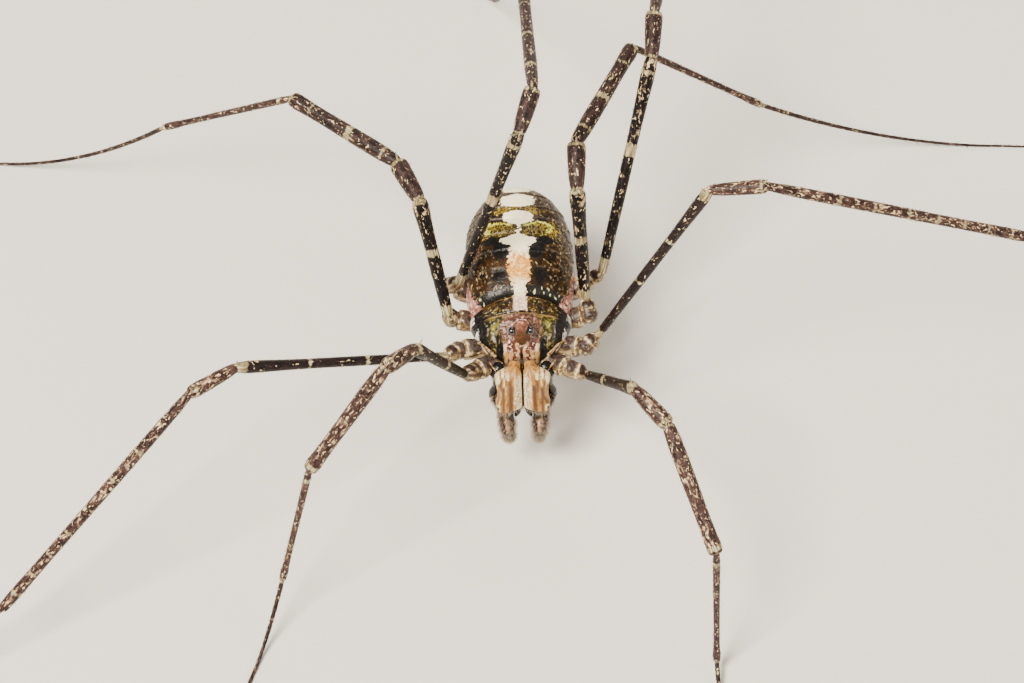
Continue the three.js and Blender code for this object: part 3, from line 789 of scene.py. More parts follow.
def mound_colours(tree, spot, fine):
    """Rough tanned cuticle. The eye sees reddish brown with paler grains, darker in front and behind."""
    broad = add(tree, "TexNoise", {"Vector": spot, "Scale": 4.0, "Detail": 2.0})
    back_y = add(tree, "SeparateXYZ", {"Vector": spot}).outputs["Y"]
    return paint(
        tree, "#562c1f",
        (fine, 0.4, 0.6, "#80503c"),
        (broad, 0.58, 0.64, "#a3745a"),
        (back_y, -1.36, -1.3, "#3d2b2e"),
        (back_y, -1.92, -2.02, "#4f2e14"),
        (frayed(tree, "wavy_rim", fine, 0.16), 0.0, 0.03, "#e6cbbf"),
        (frayed(tree, "eye_ring", fine, 0.04), -0.01, 0.02, "#5f4f4b"),
    )


bm = new_skin("wavy_rim", "eye_ring")
roll_skin(bm, MOUND_SIDES, MOUND_ROWS, mound_place, mound_marks)
mound_cuticle = new_cuticle(
    "mound_cuticle", mound_colours, roughness=0.42, grain=0.11, depth=0.045, mottle=8.0,
)
finish_piece("eye_mound_skin", bm, mound_cuticle, "mound_cuticle", "eye_mound")

# Cornea, a smooth clear cuticle over black pigment: a sharp highlight, and faint bluish clouds a sixth
# of a millimetre across in the depth
cornea, tree, shader = new_material("cornea", {
    "Roughness": 0.05, "IOR": 1.56, "Coat Weight": 1.0, "Coat Roughness": 0.02,
})
spot = add(tree, "TexCoord").outputs["Object"]
clouds = add(tree, "TexNoise", {"Vector": spot, "Scale": 6 / MM, "Detail": 2.0})
tree.links.new(paint(tree, "#030305", (clouds, 0.45, 0.65, "#15191f")), shader.inputs["Base Color"])
for side, word in ((1, "left"), (-1, "right")):
    bm = bmesh.new()
    bmesh.ops.create_uvsphere(bm, u_segments=48, v_segments=28, radius=EYE_RADIUS)
    bmesh.ops.scale(bm, vec=EYE_SQUEEZE, verts=bm.verts)
    bmesh.ops.translate(bm, vec=mirrored(side, EYE_PLACE), verts=bm.verts)
    finish_piece(f"lens_{word}", bm, cornea, "eye", f"eye_{word}")


# The jaws, the chelicerae: a short level base and a hanging hand that ends in two black fingers
# with toothed inner edges. They hang side by side in front of the mouth.
JAW_BASE = ((0.25, -2.42, 0.2), (0.41, -3.2, 0.2))
JAW_BASE_SWELLING = (0.26, 0.29, 0.34, 0.39, 0.42)
JAW_BASE_DOME = 0.3
JAW_BASE_GIRTH = 2.0
JAW_BASE_SIDES, JAW_BASE_ROWS = 48, 40
HAND_START = (0.505, -2.92, 0.72)
HAND_END = (0.505, -3.82, -1.14)
HAND_HALF_WIDTH = 0.512
HAND_CORNER = 0.2  # how far the lower inner corner is cut away
HAND_DEPTH = 0.74  # front to back, as a share of the width
HAND_SQUARE = 2.8
HAND_SIDES, HAND_ROWS = 110, 110
FLUTES, FLUTE_DEPTH = 9, 0.024
SHOULDER = 0.05  # how far its outer shoulder swells
HAND_SWELLING = (0.6, 0.88, 1.03, 1.07, 1.03, 1.0, 0.98, 1.0, 1.06, 1.05, 0.9)
JAW_BASE_MAP, HAND_MAP = 7, 9  # where the maps of the two start, in mm
# Brown stripes of painted shade down the front of the hand, in the creases between its pale strip
# and its bulges: how far from the middle of the animal, from and to which share of the hand's length,
# and half the width
HAND_SHADE_STRIPES = (
    (0.47, 0.3, 0.95, 0.1), (0.77, 0.35, 0.95, 0.06), (0.9, 0.1, 0.34, 0.035), (0.66, 0.12, 0.3, 0.03),
)
# Pale ovals of painted highlight on the hand's bulges, and a brown knuckle: x, share of the length,
# and the half sizes of each
HAND_LOBE_HIGHLIGHTS = (
    (0.58, 0.12, 0.09, 0.09), (0.79, 0.1, 0.08, 0.1), (0.98, 0.2, 0.12, 0.12), (0.98, 0.84, 0.1, 0.06),
)
CONDYLE = (1.0, 0.86, 0.07, 0.04)
# The two fingers of a hand, root to tip
FINGERS = (
    ((0.15, -3.6, -0.8), (0.2, -3.86, -1.2), (0.32, -3.84, -1.66)),
    ((0.42, -3.68, -0.98), (0.5, -3.96, -1.3), (0.4, -3.92, -1.72)),
)
FINGER_LENGTH, FINGER_RADIUS = 0.9, 0.17
FINGER_SIDES, FINGER_ROWS = 18, 50
TOOTH, TOOTH_RATE = 0.03, 45  # height, and radians of the row of teeth along a finger
PLAIN_JAW = dict.fromkeys(("inner", "midline", "stripe", "lobe", "condyle", "orange", "black"), -1)


def hand_marks(at, turn, share):
    side = abs(at.x)
    stripes = max(
        min(wide - abs(side - across - 0.05 * (share - 0.5)), (share - low) * 0.8, (high - share) * 0.8)
        for across, low, high, wide in HAND_SHADE_STRIPES
    )
    return {
        "inner": 0.36 - side - 1.2 * max(0, 0.26 - share),
        # Painted shade: near-black along the inner side, where the two jaws meet
        "midline": 0.05 - side,
        # Painted shade: brown stripes in the creases between the pale strip and the bulges
        "stripe": stripes if facing(turn)[1] > -0.2 else -1,
        # Painted highlights: pale ovals on the hand's bulges
        "lobe": depth_inside(side, share, *HAND_LOBE_HIGHLIGHTS),
        "condyle": depth_inside(side, share, CONDYLE),
        "orange": 0.17 - share - 0.4 * max(0, side - 0.45),
        "black": -1,
    }


def hand_shift(side):
    """Flutes the hand, raises its lower inner corner and keeps its inner side against its pair."""
    down = (Vector(HAND_END) - Vector(HAND_START)).normalized()

    def shift(turn, share, across, above):
        sideways, up = facing(turn)
        outward = sideways * across + up * above
        outer = outward.x * side
        fluting = math.cos(turn * FLUTES * 2 * math.pi) * math.sin(math.pi * min(share * 1.15, 1))
        lobe = SHOULDER * bell(share - 0.2, 0.07) * max(0, outer) ** 3
        drop = HAND_CORNER * outer * bell(share - 1, 0.12)
        spread = HAND_HALF_WIDTH * (along(HAND_SWELLING, share) - 1)
        return outward * (FLUTE_DEPTH * fluting + lobe) + down * drop + Vector((side * spread, 0, 0))

    return shift


def hand_radius(share):
    ends = round_ends(share, hand_length, HAND_HALF_WIDTH, start=1.8, end=0.8)
    return HAND_HALF_WIDTH * along(HAND_SWELLING, share) * ends


def finger_radius(share):
    return FINGER_RADIUS * (1 - 0.75 * share) * round_ends(share, FINGER_LENGTH, FINGER_RADIUS)


def jaw_colours(tree, spot, fine):
    """Thin tanned cuticle over muscle. The eye sees amber and cream, streaked down the hand in strokes
    0.1 by 0.7 mm, with an orange root and black, fully tanned fingers. Painted light lies over these:
    brown stripes of painted shade in the hand's creases, pale ovals of painted highlight on its bulges,
    and painted shade along the middle where the two jaws meet."""
    streaks = drawn_out(tree, 8.0, 1.4, 3.0)
    dots = add(tree, "TexVoronoi", {"Vector": spot, "Scale": 9.0})
    strip = paint(
        tree, "#a98c62",
        (streaks, 0.4, 0.56, "#d3bf94"),
        (fine, 0.54, 0.62, "#efe6c8"),
        (dots, 0.23, 0.15, "#1c1410"),
    )
    orange = paint(tree, "#84551f", (streaks, 0.42, 0.6, "#bd9050"), (fine, 0.64, 0.7, "#5f3512"))
    return paint(
        tree, "#5f4127",
        (streaks, 0.36, 0.5, "#a47539"),
        (streaks, 0.56, 0.64, "#dcbe7e"),
        (fine, 0.62, 0.68, "#54371f"),
        # Painted highlights: pale cream ovals on the bulges of the hand
        (frayed(tree, "lobe", fine, 0.14), 0.0, 0.03, "#e6d6a8"),
        (frayed(tree, "inner", fine, 0.2), -0.02, 0.05, strip),
        # Painted shade: brown stripes in the creases of the hand
        (frayed(tree, "stripe", streaks, 0.16), -0.01, 0.05, "#5a3a20"),
        (frayed(tree, "condyle", fine, 0.05), 0.0, 0.02, "#3a1f12"),
        (frayed(tree, "orange", fine, 0.1), -0.05, 0.1, orange),
        (frayed(tree, "black", fine, 0.15), -0.05, 0.05, "#0b0807"),
        # Painted shade: the inner sides of the jaws, where they meet at the middle, go near-black for the
        # shade in the gap between them
        (frayed(tree, "midline", fine, 0.08), 0.0, 0.02, "#160d08"),
    )


jaw_cuticle = new_cuticle(
    "jaw_cuticle", jaw_colours, roughness=0.36, grain=0.08, depth=0.02, mottle=9.0,
)
hand_length = math.dist(HAND_START, HAND_END)
hand_roots = []  # where the bristles at the end of each hand grow
for side, word in ((1, "left"), (-1, "right")):
    bm = new_skin(*PLAIN_JAW)
    start, end = (mirrored(side, place) for place in JAW_BASE)
    base_length = (end - start).length
    base_place = limb_place(
        straight(start, end),
        lambda share: along(JAW_BASE_SWELLING, share) * round_ends(share, base_length, JAW_BASE_DOME),
    )
    roll_skin(bm, JAW_BASE_SIDES, JAW_BASE_ROWS, base_place,
              # Painted shade: the base's inner side at the middle goes near-black for the shade between
              # the two jaws
              lambda at, turn, share: PLAIN_JAW | {"orange": 0.5, "midline": 0.09 - abs(at.x)},
              JAW_BASE_GIRTH, (JAW_BASE_MAP, JAW_BASE_MAP + base_length))
    finish_piece(f"jaw_base_{word}", bm, jaw_cuticle, "jaw_cuticle", f"chelicera_base_{word}")

    bm = new_skin(*PLAIN_JAW)
    hand_axis = straight(mirrored(side, HAND_START), mirrored(side, HAND_END))
    on_hand = limb_place(hand_axis, hand_radius, HAND_DEPTH, hand_shift(side), HAND_SQUARE)
    roll_skin(bm, HAND_SIDES, HAND_ROWS, on_hand, hand_marks,
              HAND_HALF_WIDTH * 2 * math.pi, (HAND_MAP, HAND_MAP + hand_length))
    hand_roots.append((on_hand, hand_axis))
    for line in FINGERS:
        teeth = lambda turn, share, across, above: Vector((TOOTH * side, 0, 0)) * (
            max(0, math.cos(share * TOOTH_RATE)) * math.sin(math.pi * share))
        finger_place = limb_place(curved(line, side), finger_radius, shift=teeth)
        roll_skin(bm, FINGER_SIDES, FINGER_ROWS, finger_place,
                  lambda at, turn, share: PLAIN_JAW | {"black": share - 0.12})
    finish_piece(f"jaw_hand_{word}", bm, jaw_cuticle, "jaw_cuticle", f"chelicera_hand_{word}")


# The feelers, the pedipalps: short limbs beside the jaws. The first joints and the knee are black and
# shiny, and the last two are thick with soft hair and hang in front of the mouth.
# For each part the middle line and the radius along it
FEELER = {
    "femur": (
        ((0.99, -2.52, 0.08), (0.98, -2.5, -0.12), (1.04, -2.6, -0.7), (1.1, -2.66, -1.3),
         (1.2, -2.68, -1.82), (1.24, -2.68, -2.06)),
        (0.2, 0.33, 0.15, 0.11, 0.19, 0.14),
    ),
    "tibia": (
        ((1.24, -2.7, -1.86), (0.98, -3.02, -1.87), (0.76, -3.36, -1.92), (0.67, -3.88, -2.07),
         (0.63, -4.38, -2.27)),
        (0.15, 0.19, 0.28, 0.31, 0.22),
    ),
    "tarsus": (((0.63, -4.2, -2.22), (0.61, -4.02, -2.9), (0.58, -3.74, -3.6)), (0.18, 0.2, 0.09)),
}
FEELER_SIDES, FEELER_ROWS = 36, 70
FEELER_GIRTH, FEELER_PART, FEELER_MAP_STEP = 1.6, 2.0, 3  # sizes on the map, and from part to part


def feeler_marks(part):
    def marks(at, turn, share):
        stripe = (facing(turn)[1] - 0.93) * 0.6 - max(0, 0.34 - share) - max(0, share - 0.95) * 2
        knee_rim = 0.03 - abs(share - 0.08)
        return {
            "hairy": {"femur": -1, "tibia": share - 0.22, "tarsus": 0.5}[part],
            "stripe": max(stripe, knee_rim) if part == "tibia" else -0.1,
        }
    return marks


def feeler_colours(tree, spot, fine):
    """Fully tanned, polished cuticle. The eye sees glossy black joints, and a brown ground under the
    hair in streaks 0.15 by 0.5 mm, with one tan stripe on top."""
    streaks = drawn_out(tree, 7.0, 2.0, 3.0)
    hairy = paint(tree, "#241712", (streaks, 0.4, 0.56, "#4b372a"), (fine, 0.62, 0.68, "#8a725c"))
    stripe = paint(tree, "#83664b", (fine, 0.45, 0.6, "#b0946f"))
    return paint(
        tree, "#0d0b0e",
        (fine, 0.62, 0.7, "#2b2523"),
        (frayed(tree, "hairy", fine, 0.1), -0.04, 0.06, hairy),
        (frayed(tree, "stripe", fine, 0.08), -0.01, 0.03, stripe),
    )


feeler_cuticle = new_cuticle(
    "feeler_cuticle", feeler_colours, roughness=0.22, grain=0.08, depth=0.02, mottle=9.0,
)
feeler_roots = []  # where the soft hair grows: places, axis, and a corner of the hairs' map
for side, word in ((1, "left"), (-1, "right")):
    bm = new_skin("hairy", "stripe")
    for index, (part, (line, radii)) in enumerate(FEELER.items()):
        axis = curved(line, side)
        place_on = limb_place(axis, lambda share, radii=radii: (
            along(radii, share) * round_ends(share, FEELER_PART, radii[-1])))
        map_start = index * FEELER_MAP_STEP
        roll_skin(bm, FEELER_SIDES, FEELER_ROWS, place_on, feeler_marks(part),
                  FEELER_GIRTH, (map_start, map_start + FEELER_PART))
        if part != "femur":
            feeler_roots.append((place_on, axis, ((side + 1) * 0.25, (index + 1) / 4)))
    finish_piece(f"feeler_{word}", bm, feeler_cuticle, "feeler_cuticle", f"pedipalp_{word}")


# The legs beyond the coxa: a ball joint, femur, patella, tibia, metatarsus and a foot of many
# short rings with one claw. Each joint is a hard tube, hinged to the next by soft skin.
JOINTS = ("trochanter", "femur", "patella", "tibia", "metatarsus", "tarsus")
LEG_LENGTHS = {
    1: (0.7, 5.1, 1.95, 5.35, 5.9, 9.0),
    2: (0.7, 9.5, 2.25, 12.0, 9.5, 15.0),
    3: (0.7, 5.1, 1.9, 5.3, 7.5, 13.5),
    4: (0.7, 9.1, 1.9, 8.2, 10.8, 12.0),
}
LEG_RADII = {
    1: (0.42, 0.225, 0.31, 0.3, 0.14, 0.1),
    2: (0.42, 0.2, 0.26, 0.22, 0.13, 0.09),
    3: (0.4, 0.265, 0.345, 0.31, 0.14, 0.1),
    4: (0.38, 0.23, 0.32, 0.25, 0.14, 0.1),
}
# Degrees forward of straight out and above level for each joint; then the foot's heading, its turn
# and the share of it that is off the floor
LEG_POSES = {
    "left_1": ((19, -9), (59, 49), (49, -10), (68, -30), (89, -72), (88, -10, 0.35)),
    "left_2": ((-38, 20), (-19, 61), (4, 11), (-4, -28), (-2, -62), (0, 15, 0.35)),
    "left_3": ((-104, 29), (-96, 63), (-89, 19), (-63, -5), (-5, -45), (-14, 19, 0.85)),
    "left_4": ((-20, 30), (-70, 46), (-85, 13), (-82, -30), (-78, -45), (-72, 10, 0.3)),
    "right_1": ((50, 44), (36, 63), (50, 28), (38, -42), (55, -67), (64, 10, 0.45)),
    "right_2": ((42, 27), (18, 26), (38, 12), (34, -38), (30, -14), (28, -10, 0.2)),
    "right_3": ((52, 71), (-71, 53), (-64, 2), (-38, -2), (-19, -40), (-16, 8, 0.75)),
    "right_4": ((150, 56), (-149, 71), (-109, 16), (-88, -28), (-78, -58), (-72, 12, 0.3)),
}
# How thick each joint is along its length, as shares of its radius
THICKNESS = {
    "trochanter": (0.8, 0.98, 1.02, 1.0, 0.86, 0.83, 0.86, 0.82, 0.7, 0.58, 0.52),
    "femur": (0.84, 0.86, 0.88, 0.92, 0.95, 0.98, 1.0, 1.0, 1.0, 1.0, 1.02, 1.06, 1.12, 1.22, 1.26, 0.98),
    "patella": (0.66, 0.84, 0.94, 1.0, 1.04, 1.07, 1.1, 1.1, 0.92),
    "tibia": (0.74, 0.92, 1.0, 1.03, 1.04, 1.03, 1.02, 1.0, 0.98, 0.96, 0.95, 0.96, 1.0, 1.06, 0.9),
    "metatarsus": (0.84, 1.06, 1.04, 1.02, 1.0, 0.97, 0.94, 0.92, 0.9, 0.88, 0.88, 0.92, 1.16, 1.0),
    "tarsus": (1.0, 0.92, 0.84, 0.75, 0.66, 0.57, 0.48, 0.4),
}
# How far a joint reaches back into the last one and on into the next, and the ball joint in the coxa
REACH_BACK, REACH_ON, BALL_REACH_BACK = 0.1, 0.06, 0.38
BALL_DOME = 1.6  # how much deeper the ends of the ball joint are rounded
RING_LENGTH, RING_NOTCH = 0.45, 0.14
ROW_STEP = 0.055  # length of leg between two rows of the mesh
THIN_SIDES = 16
FOOT_STEPS, FOOT_STRIDE = 160, 16  # steps of the foot's curve, and how many from point to point
SPINE_LENGTH, SPINE_RADIUS = 0.3, 0.06
SPINE_SIDES, SPINE_ROWS = 8, 8
LEG_MAP_LENGTH = 60.0  # how far the map of one leg starts after the last
# Pale bands by joint and, where pairs differ, by pair: the share of the joint, and half the width
PALE_BANDS = {
    "femur1": ((0.0, 0.26), (0.42, 0.11), (0.985, 0.12)),
    "femur2": ((0.0, 0.5), (0.39, 0.07), (0.66, 0.07), (0.98, 0.3)),
    "femur3": ((0.0, 0.52), (0.55, 0.15), (0.98, 0.08)),
    "femur4": ((0.0, 0.7), (0.575, 0.28), (0.93, 0.1)),
    "patella": ((0.03, 0.04), (0.9, 0.06)),
    "tibia1": ((0.02, 0.05), (0.95, 0.1)),
    "tibia2": (
        (0.27, 0.05), (0.4, 0.06), (0.53, 0.05), (0.64, 0.06), (0.74, 0.05), (0.83, 0.05), (0.92, 0.06),
    ),
    "tibia3": ((0.14, 0.04), (0.45, 0.12), (0.8, 0.04), (0.98, 0.07)),
    "tibia4": ((0.2, 0.09), (0.5, 0.09), (0.8, 0.05)),
    "metatarsus": ((0.1, 0.08), (0.36, 0.03), (0.705, 0.025), (0.985, 0.1)),
    "tarsus": ((0.01, 0.06), (0.1, 0.02), (0.2, 0.02), (0.3, 0.02), (0.4, 0.02)),
}
# How plum-coloured each joint is, rather than black, on the first two pairs and on the last two;
# then how much of it the cream blotches take
LEG_TINTS = {
    "femur": ((0.08, 0.0), (0.1, 0.25)),
    "patella": ((0.75, 0.4), (0.4, 0.25)),
    "tibia": ((0.7, 0.3), (0.42, 0.28)),
    "metatarsus": ((0.75, 0.65), (0.3, 0.3)),
    "tarsus": ((0.4, 0.35), (0.1, 0.1)),
}


def leg_way(side, heading, pitch=0):
    h, p = math.radians(heading), math.radians(pitch)
    return Vector((side * math.cos(h) * math.cos(p), -math.sin(h) * math.cos(p), math.sin(p)))


def foot_points(start, side, heading, turn, off_floor, length, radius_at):
    """The foot leaves the shin, sinks in a smooth curve and then lies along the floor."""
    drop = start.z + ROOT_HEIGHT - radius_at(0)
    landing = math.sqrt((off_floor * length) ** 2 - drop ** 2)
    points, place, height = [start.copy()], start.copy(), drop
    for i in range(1, FOOT_STEPS + 1):
        slope = 2 * math.sqrt(height * drop) / landing
        stride = length / FOOT_STEPS / math.hypot(1, slope)
        place += leg_way(side, heading + turn * i / FOOT_STEPS) * stride
        height = max(height - slope * stride, 0)
        place.z = -ROOT_HEIGHT + height + radius_at(i / FOOT_STEPS)
        points.append(place.copy())
    return points[::FOOT_STRIDE]


def ringed_radius(radius, shares, rings):
    """The radius at each share of a joint, with a notch between its rings if it has any."""
    def radius_at(share):
        notch = RING_NOTCH * bell((share * rings) % 1 - 0.5, 0.1) if rings else 0
        return radius * along(shares, share) * (1 - notch)
    return radius_at


def domed_radius(radius_at, length, radius, start=1.0):
    return lambda share: radius_at(share) * round_ends(share, length, radius, start)


def leg_marks(joint, pair, length):
    bands = PALE_BANDS.get(joint) or PALE_BANDS[f"{joint}{pair}"]
    plum, blotched = (pairs[0 if pair < 3 else 1] for pairs in LEG_TINTS[joint])

    def marks(at, turn, share):
        extra = 0.05 * facing(turn)[1]
        if joint == "femur":
            extra += 0.25 * max(0, share - 0.6) / 0.4
        if joint == "patella" and pair < 3:
            extra += 0.25 * (share - 0.5)
        return {
            "pale": max(max(half - abs(share - spot) * length for spot, half in bands), -0.4),
            "plum": plum,
            "blotched": blotched + extra,
        }

    return marks


def ball_marks(at, turn, share):
    """The ball joint reads as two barrels, each with a dark patch above and a pale rim at its end."""
    below = 1 - facing(turn)[1]
    rims = ((0.55, 0.03), (0.1, 0.02), (0.9, 0.02))
    return {
        "patch": 0.17 - math.hypot((share - 0.3) * 0.8, below * 0.35),
        "dark_patch": 0.13 - math.hypot((share - 0.72) * 0.8, below * 0.3),
        "rim": max(half - abs(share - place) * 0.9 for place, half in rims),
    }


def leg_colours(tree, spot, fine):
    """Thick tanned cuticle, dulled by short hair. The eye sees black and plum joints with cream
    blotches about 0.2 by 0.45 mm, flecks half as large, and pale bands that are streaked lengthwise."""
    mottle = drawn_out(tree, 5.0, 2.2, 3.0, 0.8)
    streaks = drawn_out(tree, 14.0, 1.5, 2.0)
    flecks = drawn_out(tree, 9.0, 4.6, 1.5, 1.0)
    plum = add(tree, "Attribute", attribute_name="plum")
    blotched = add(tree, "Attribute", attribute_name="blotched")
    blotch = add(tree, "Math", {0: blotched, 1: 0.42, 2: mottle}, operation="MULTIPLY_ADD")
    fleck = add(tree, "Math", {0: blotched, 1: 0.16, 2: flecks}, operation="MULTIPLY_ADD")
    plum_skin = paint(tree, "#2a1b1b", (mottle, 0.4, 0.55, "#523a34"), (fine, 0.6, 0.66, "#755a50"))
    blotches = paint(tree, "#8a6f59", (fine, 0.4, 0.54, "#cbb088"), (fine, 0.58, 0.66, "#e5d3ac"))
    pale = paint(tree, "#6f6244", (streaks, 0.4, 0.52, "#a1946f"), (streaks, 0.56, 0.64, "#d3c8a8"))
    return paint(
        tree, "#080506",
        (mottle, 0.45, 0.6, "#191013"),
        (plum, 0.0, 1.0, plum_skin),
        (blotch, 0.77, 0.88, blotches),
        (fleck, 0.69, 0.73, "#dcc79c"),
        (frayed(tree, "pale", mottle, 0.3), -0.02, 0.03, pale),
    )


leg_cuticle = new_cuticle(
    "leg_cuticle", leg_colours, roughness=0.46, grain=0.07, depth=0.022, mottle=10.0, shine=0.16,
)
leg_hair_roots = []
ball_joints = new_skin("patch", "dark_patch", "rim")
for leg, (name, pose) in enumerate(LEG_POSES.items()):
    word, pair = name.split("_")
    side, pair = (1 if word == "left" else -1), int(pair)
    bm = new_skin("pale", "plum", "blotched")
    start = leg_root(side, pair)
    reached = leg * LEG_MAP_LENGTH
    for index, (joint, length, radius) in enumerate(zip(JOINTS, LEG_LENGTHS[pair], LEG_RADII[pair])):
        is_ball, is_foot = joint == "trochanter", joint == "tarsus"
        rings = round(length / RING_LENGTH) if is_foot else 0
        ringed = ringed_radius(radius, THICKNESS[joint], rings)
        if is_foot:
            axis = curved(foot_points(start, side, *pose[index], length, ringed))
        else:
            way = leg_way(side, *pose[index])
            end = start + way * length
            back = BALL_REACH_BACK if is_ball else REACH_BACK
            axis = straight(start - way * back, end + way * REACH_ON)
            if joint in ("femur", "patella"):
                above = axis(0)[3]
                tip = end + above * (radius * 1.1 + SPINE_LENGTH) + way * SPINE_LENGTH * 0.5
                spine = straight(end + above * radius * 0.7 - way * 0.08, tip)
                spine_place = limb_place(spine, lambda share: SPINE_RADIUS * (1.02 - share))
                roll_skin(bm, SPINE_SIDES, SPINE_ROWS, spine_place,
                          lambda at, turn, share: {"pale": 0.3 - share * 0.4, "plum": 1, "blotched": 0})
            start = end
        place_on = limb_place(axis, domed_radius(ringed, length, radius, BALL_DOME if is_ball else 1.0))
        rows = max(24, round(length / ROW_STEP))
        on_map = radius * 2 * math.pi, (reached, reached + length)
        if is_ball:
            roll_skin(ball_joints, LIMB_SIDES, rows, place_on, ball_marks, *on_map)
        else:
            sides = LIMB_SIDES if radius > 0.15 else THIN_SIDES
            roll_skin(bm, sides, rows, place_on, leg_marks(joint, pair, length), *on_map)
            leg_hair_roots.append((joint, length, place_on, axis, (leg / 8, index / 6)))
        reached += length
    nodes = [f"leg_{name}_{joint}" for joint in JOINTS[1:]]
    finish_piece(f"leg_{name}", bm, leg_cuticle, "leg_cuticle", *nodes)
nodes = [f"leg_{name}_trochanter" for name in LEG_POSES]
finish_piece("ball_joints", ball_joints, root_cuticle, "leg_cuticle", *nodes)


# The hairs, or setae: hollow bristles of cuticle that stand in the skin of the legs, feelers and jaws
# and lean towards the tip of each limb. They are pale and soft on the feelers, and short on the legs.
# Length, radius, lean, and how many limbs fit on the hairs' map, across and along it
LEG_HAIR = (0.14, 0.0075, 1.1, (8.5, 6.5))
FEELER_HAIR = (0.21, 0.008, 0.7, (2.5, 4.5))
JAW_HAIR = (0.17, 0.009, 1.5, (2.5, 4.5))
LEG_HAIRS_A_MM = {"femur": 14, "patella": 20, "tibia": 20, "metatarsus": 24, "tarsus": 16}
FEELER_HAIRS = 900
JAW_HAIRS = 160
HAIR_MAP_PATCH = 0.003
HAIR_FACES = (
    (0, 2, 1), (0, 1, 4), (0, 4, 3), (1, 2, 5), (1, 5, 4),
    (2, 0, 3), (2, 3, 5), (3, 4, 6), (4, 5, 6), (5, 3, 6),
)
draw = np.random.default_rng(20)


def hairs_on(place_on, axis, count, kind, map_corner, first=0.04, last=0.96):
    """Hairs over a limb: the root, the way to the tip, the radius, the limb's way and a map place."""
    length, radius, lean, limbs = kind
    hairs = []
    for turn, share, size, sway in draw.random((count, 4)).tolist():
        share = first + (last - first) * share
        centre, ahead, _, _ = axis(share)
        root = place_on(turn, share)
        out = (root - centre).normalized()
        way = (out + ahead * lean * (0.6 + 0.8 * sway)).normalized() * length * (0.6 + 0.6 * size)
        root -= out * radius
        if root.z + way.z > -ROOT_HEIGHT:  # none reaches through the floor
            on_map = map_corner[0] + turn / limbs[0], map_corner[1] + share / limbs[1]
            hairs.append((root, way, radius, ahead, on_map))
    return hairs


def grow_hairs(name, hairs, material, slot):
    """One mesh of three-sided hairs, each with a bend and a tip, from arrays."""
    roots, ways, radii, limb_ways, on_map = (np.array(column) for column in zip(*hairs))
    long = np.linalg.norm(ways, axis=1)[:, None]
    across = np.cross(ways, limb_ways + np.array([0.1, 0.2, 0.3]))
    across /= np.linalg.norm(across, axis=1)[:, None]
    other = np.cross(ways / long, across)
    bends = roots + ways * 0.55 + limb_ways * long * 0.02
    tips = roots + ways + limb_ways * long * 0.16
    points = []
    for centres, share in ((roots, 1.0), (bends, 0.7)):
        for angle in (0, 2 * math.pi / 3, 4 * math.pi / 3):
            outward = math.cos(angle) * across + math.sin(angle) * other
            points.append(centres + radii[:, None] * share * outward)
    points.append(tips)
    verts = np.stack(points, axis=1).reshape(-1, 3) * MM + np.array(BODY_ORIGIN)
    firsts = np.arange(len(hairs))[:, None, None] * len(points)
    faces = (np.array(HAIR_FACES)[None] + firsts).reshape(-1, 3)
    mesh = bpy.data.meshes.new(name)
    mesh.from_pydata(verts.tolist(), [], faces.tolist())
    marks = mesh.attributes.new("tip", "FLOAT", "POINT")
    marks.data.foreach_set("value", np.tile([0, 0, 0, 0.5, 0.5, 0.5, 1.0], len(hairs)))
    patch = np.array([(0, 0), (1, 0), (2, 0), (0, 1), (1, 1), (2, 1), (1, 2)]) * HAIR_MAP_PATCH / 2
    uvs = (on_map[:, None] + patch[None]).reshape(-1, 2)[faces.reshape(-1)]
    mesh.uv_layers.new(name="OFBake").data.foreach_set("uv", uvs.reshape(-1))
    add_piece(name, mesh, material, slot)


def new_setae(name, dark, pale):
    """Clear cuticle a few hundredths of a millimetre thick: darker at the root, with a pale tip."""
    material, tree, shader = new_material(name, {"Roughness": 0.4, "IOR": CUTICLE_IOR})
    tip = add(tree, "Attribute", attribute_name="tip")
    spot = add(tree, "TexCoord").outputs["Object"]
    patches = add(tree, "TexNoise", {"Vector": spot, "Scale": 2 / MM})
    colour = paint(tree, dark, (tip, 0.1, 1.0, pale), (patches, 0.6, 0.7, pale))
    tree.links.new(colour, shader.inputs["Base Color"])
    return material


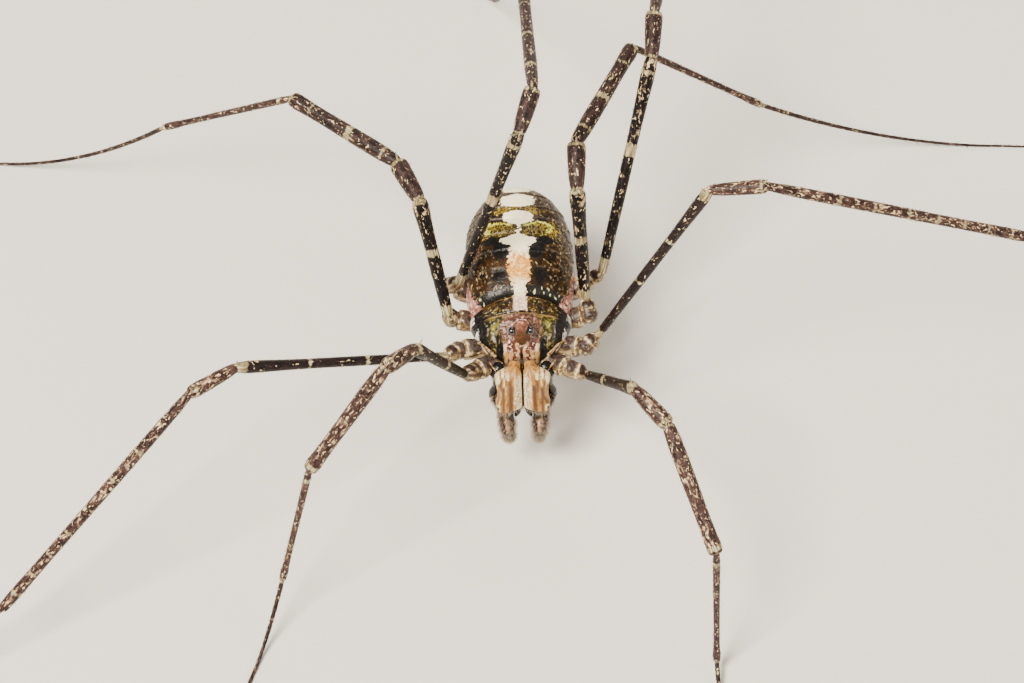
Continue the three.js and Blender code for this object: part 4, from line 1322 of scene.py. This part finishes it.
hairs = []
for joint, length, place_on, axis, map_corner in leg_hair_roots:
    count = round(LEG_HAIRS_A_MM[joint] * length)
    hairs += hairs_on(place_on, axis, count, LEG_HAIR, map_corner)
grow_hairs("leg_hairs", hairs, new_setae("leg_setae", "#2b201b", "#857260"), "leg_cuticle")

hairs = []
for place_on, axis, map_corner in feeler_roots:
    hairs += hairs_on(place_on, axis, FEELER_HAIRS, FEELER_HAIR, map_corner)
for index, (place_on, axis) in enumerate(hand_roots):
    hairs += hairs_on(place_on, axis, JAW_HAIRS, JAW_HAIR, (index / 2, 0), 0.9, 0.985)
grow_hairs("feeler_hairs", hairs, new_setae("feeler_setae", "#6a5446", "#d9c9ae"), "feeler_cuticle")


# The studio: a pale seamless paper on a table, under three large soft boxes in a pale room. The paper
# is matt, and warm white to the eye.
FLOOR_SIZE = 2.0
ROOM_LIGHT = 0.35
# Name, place, size and power of each soft box, in metres and watts
SOFT_BOXES = (
    ("key_light", (-0.12, -0.1, 0.28), 0.12, 2.7),
    ("fill_light", (0.24, -0.1, 0.2), 0.2, 0.5),
    ("back_light", (0.05, 0.26, 0.2), 0.2, 0.5),
)

bm = bmesh.new()
bmesh.ops.create_grid(bm, x_segments=1, y_segments=1, size=FLOOR_SIZE / 2)
mesh = bpy.data.meshes.new("table_top")
bm.to_mesh(mesh)
bm.free()
pale_paper, _, _ = new_material("pale_paper", {"Base Color": linear("#dedcd6"), "Roughness": 0.9})
mesh.materials.append(pale_paper)
add_object("table_top", mesh)

for name, place, size, power in SOFT_BOXES:
    light = bpy.data.lights.new(name, "AREA")
    light.size = size
    light.energy = power
    light.color = linear("#fff3e2")[:3]
    lamp = add_object(name, light)
    lamp.location = place
    lamp.rotation_euler = Vector(place).to_track_quat("Z", "Y").to_euler()

world = bpy.data.worlds.new("studio")
world.use_nodes = True
background = world.node_tree.nodes["Background"]
background.inputs["Color"].default_value = linear("#f3f0e9")
background.inputs["Strength"].default_value = ROOM_LIGHT
bpy.context.scene.world = world
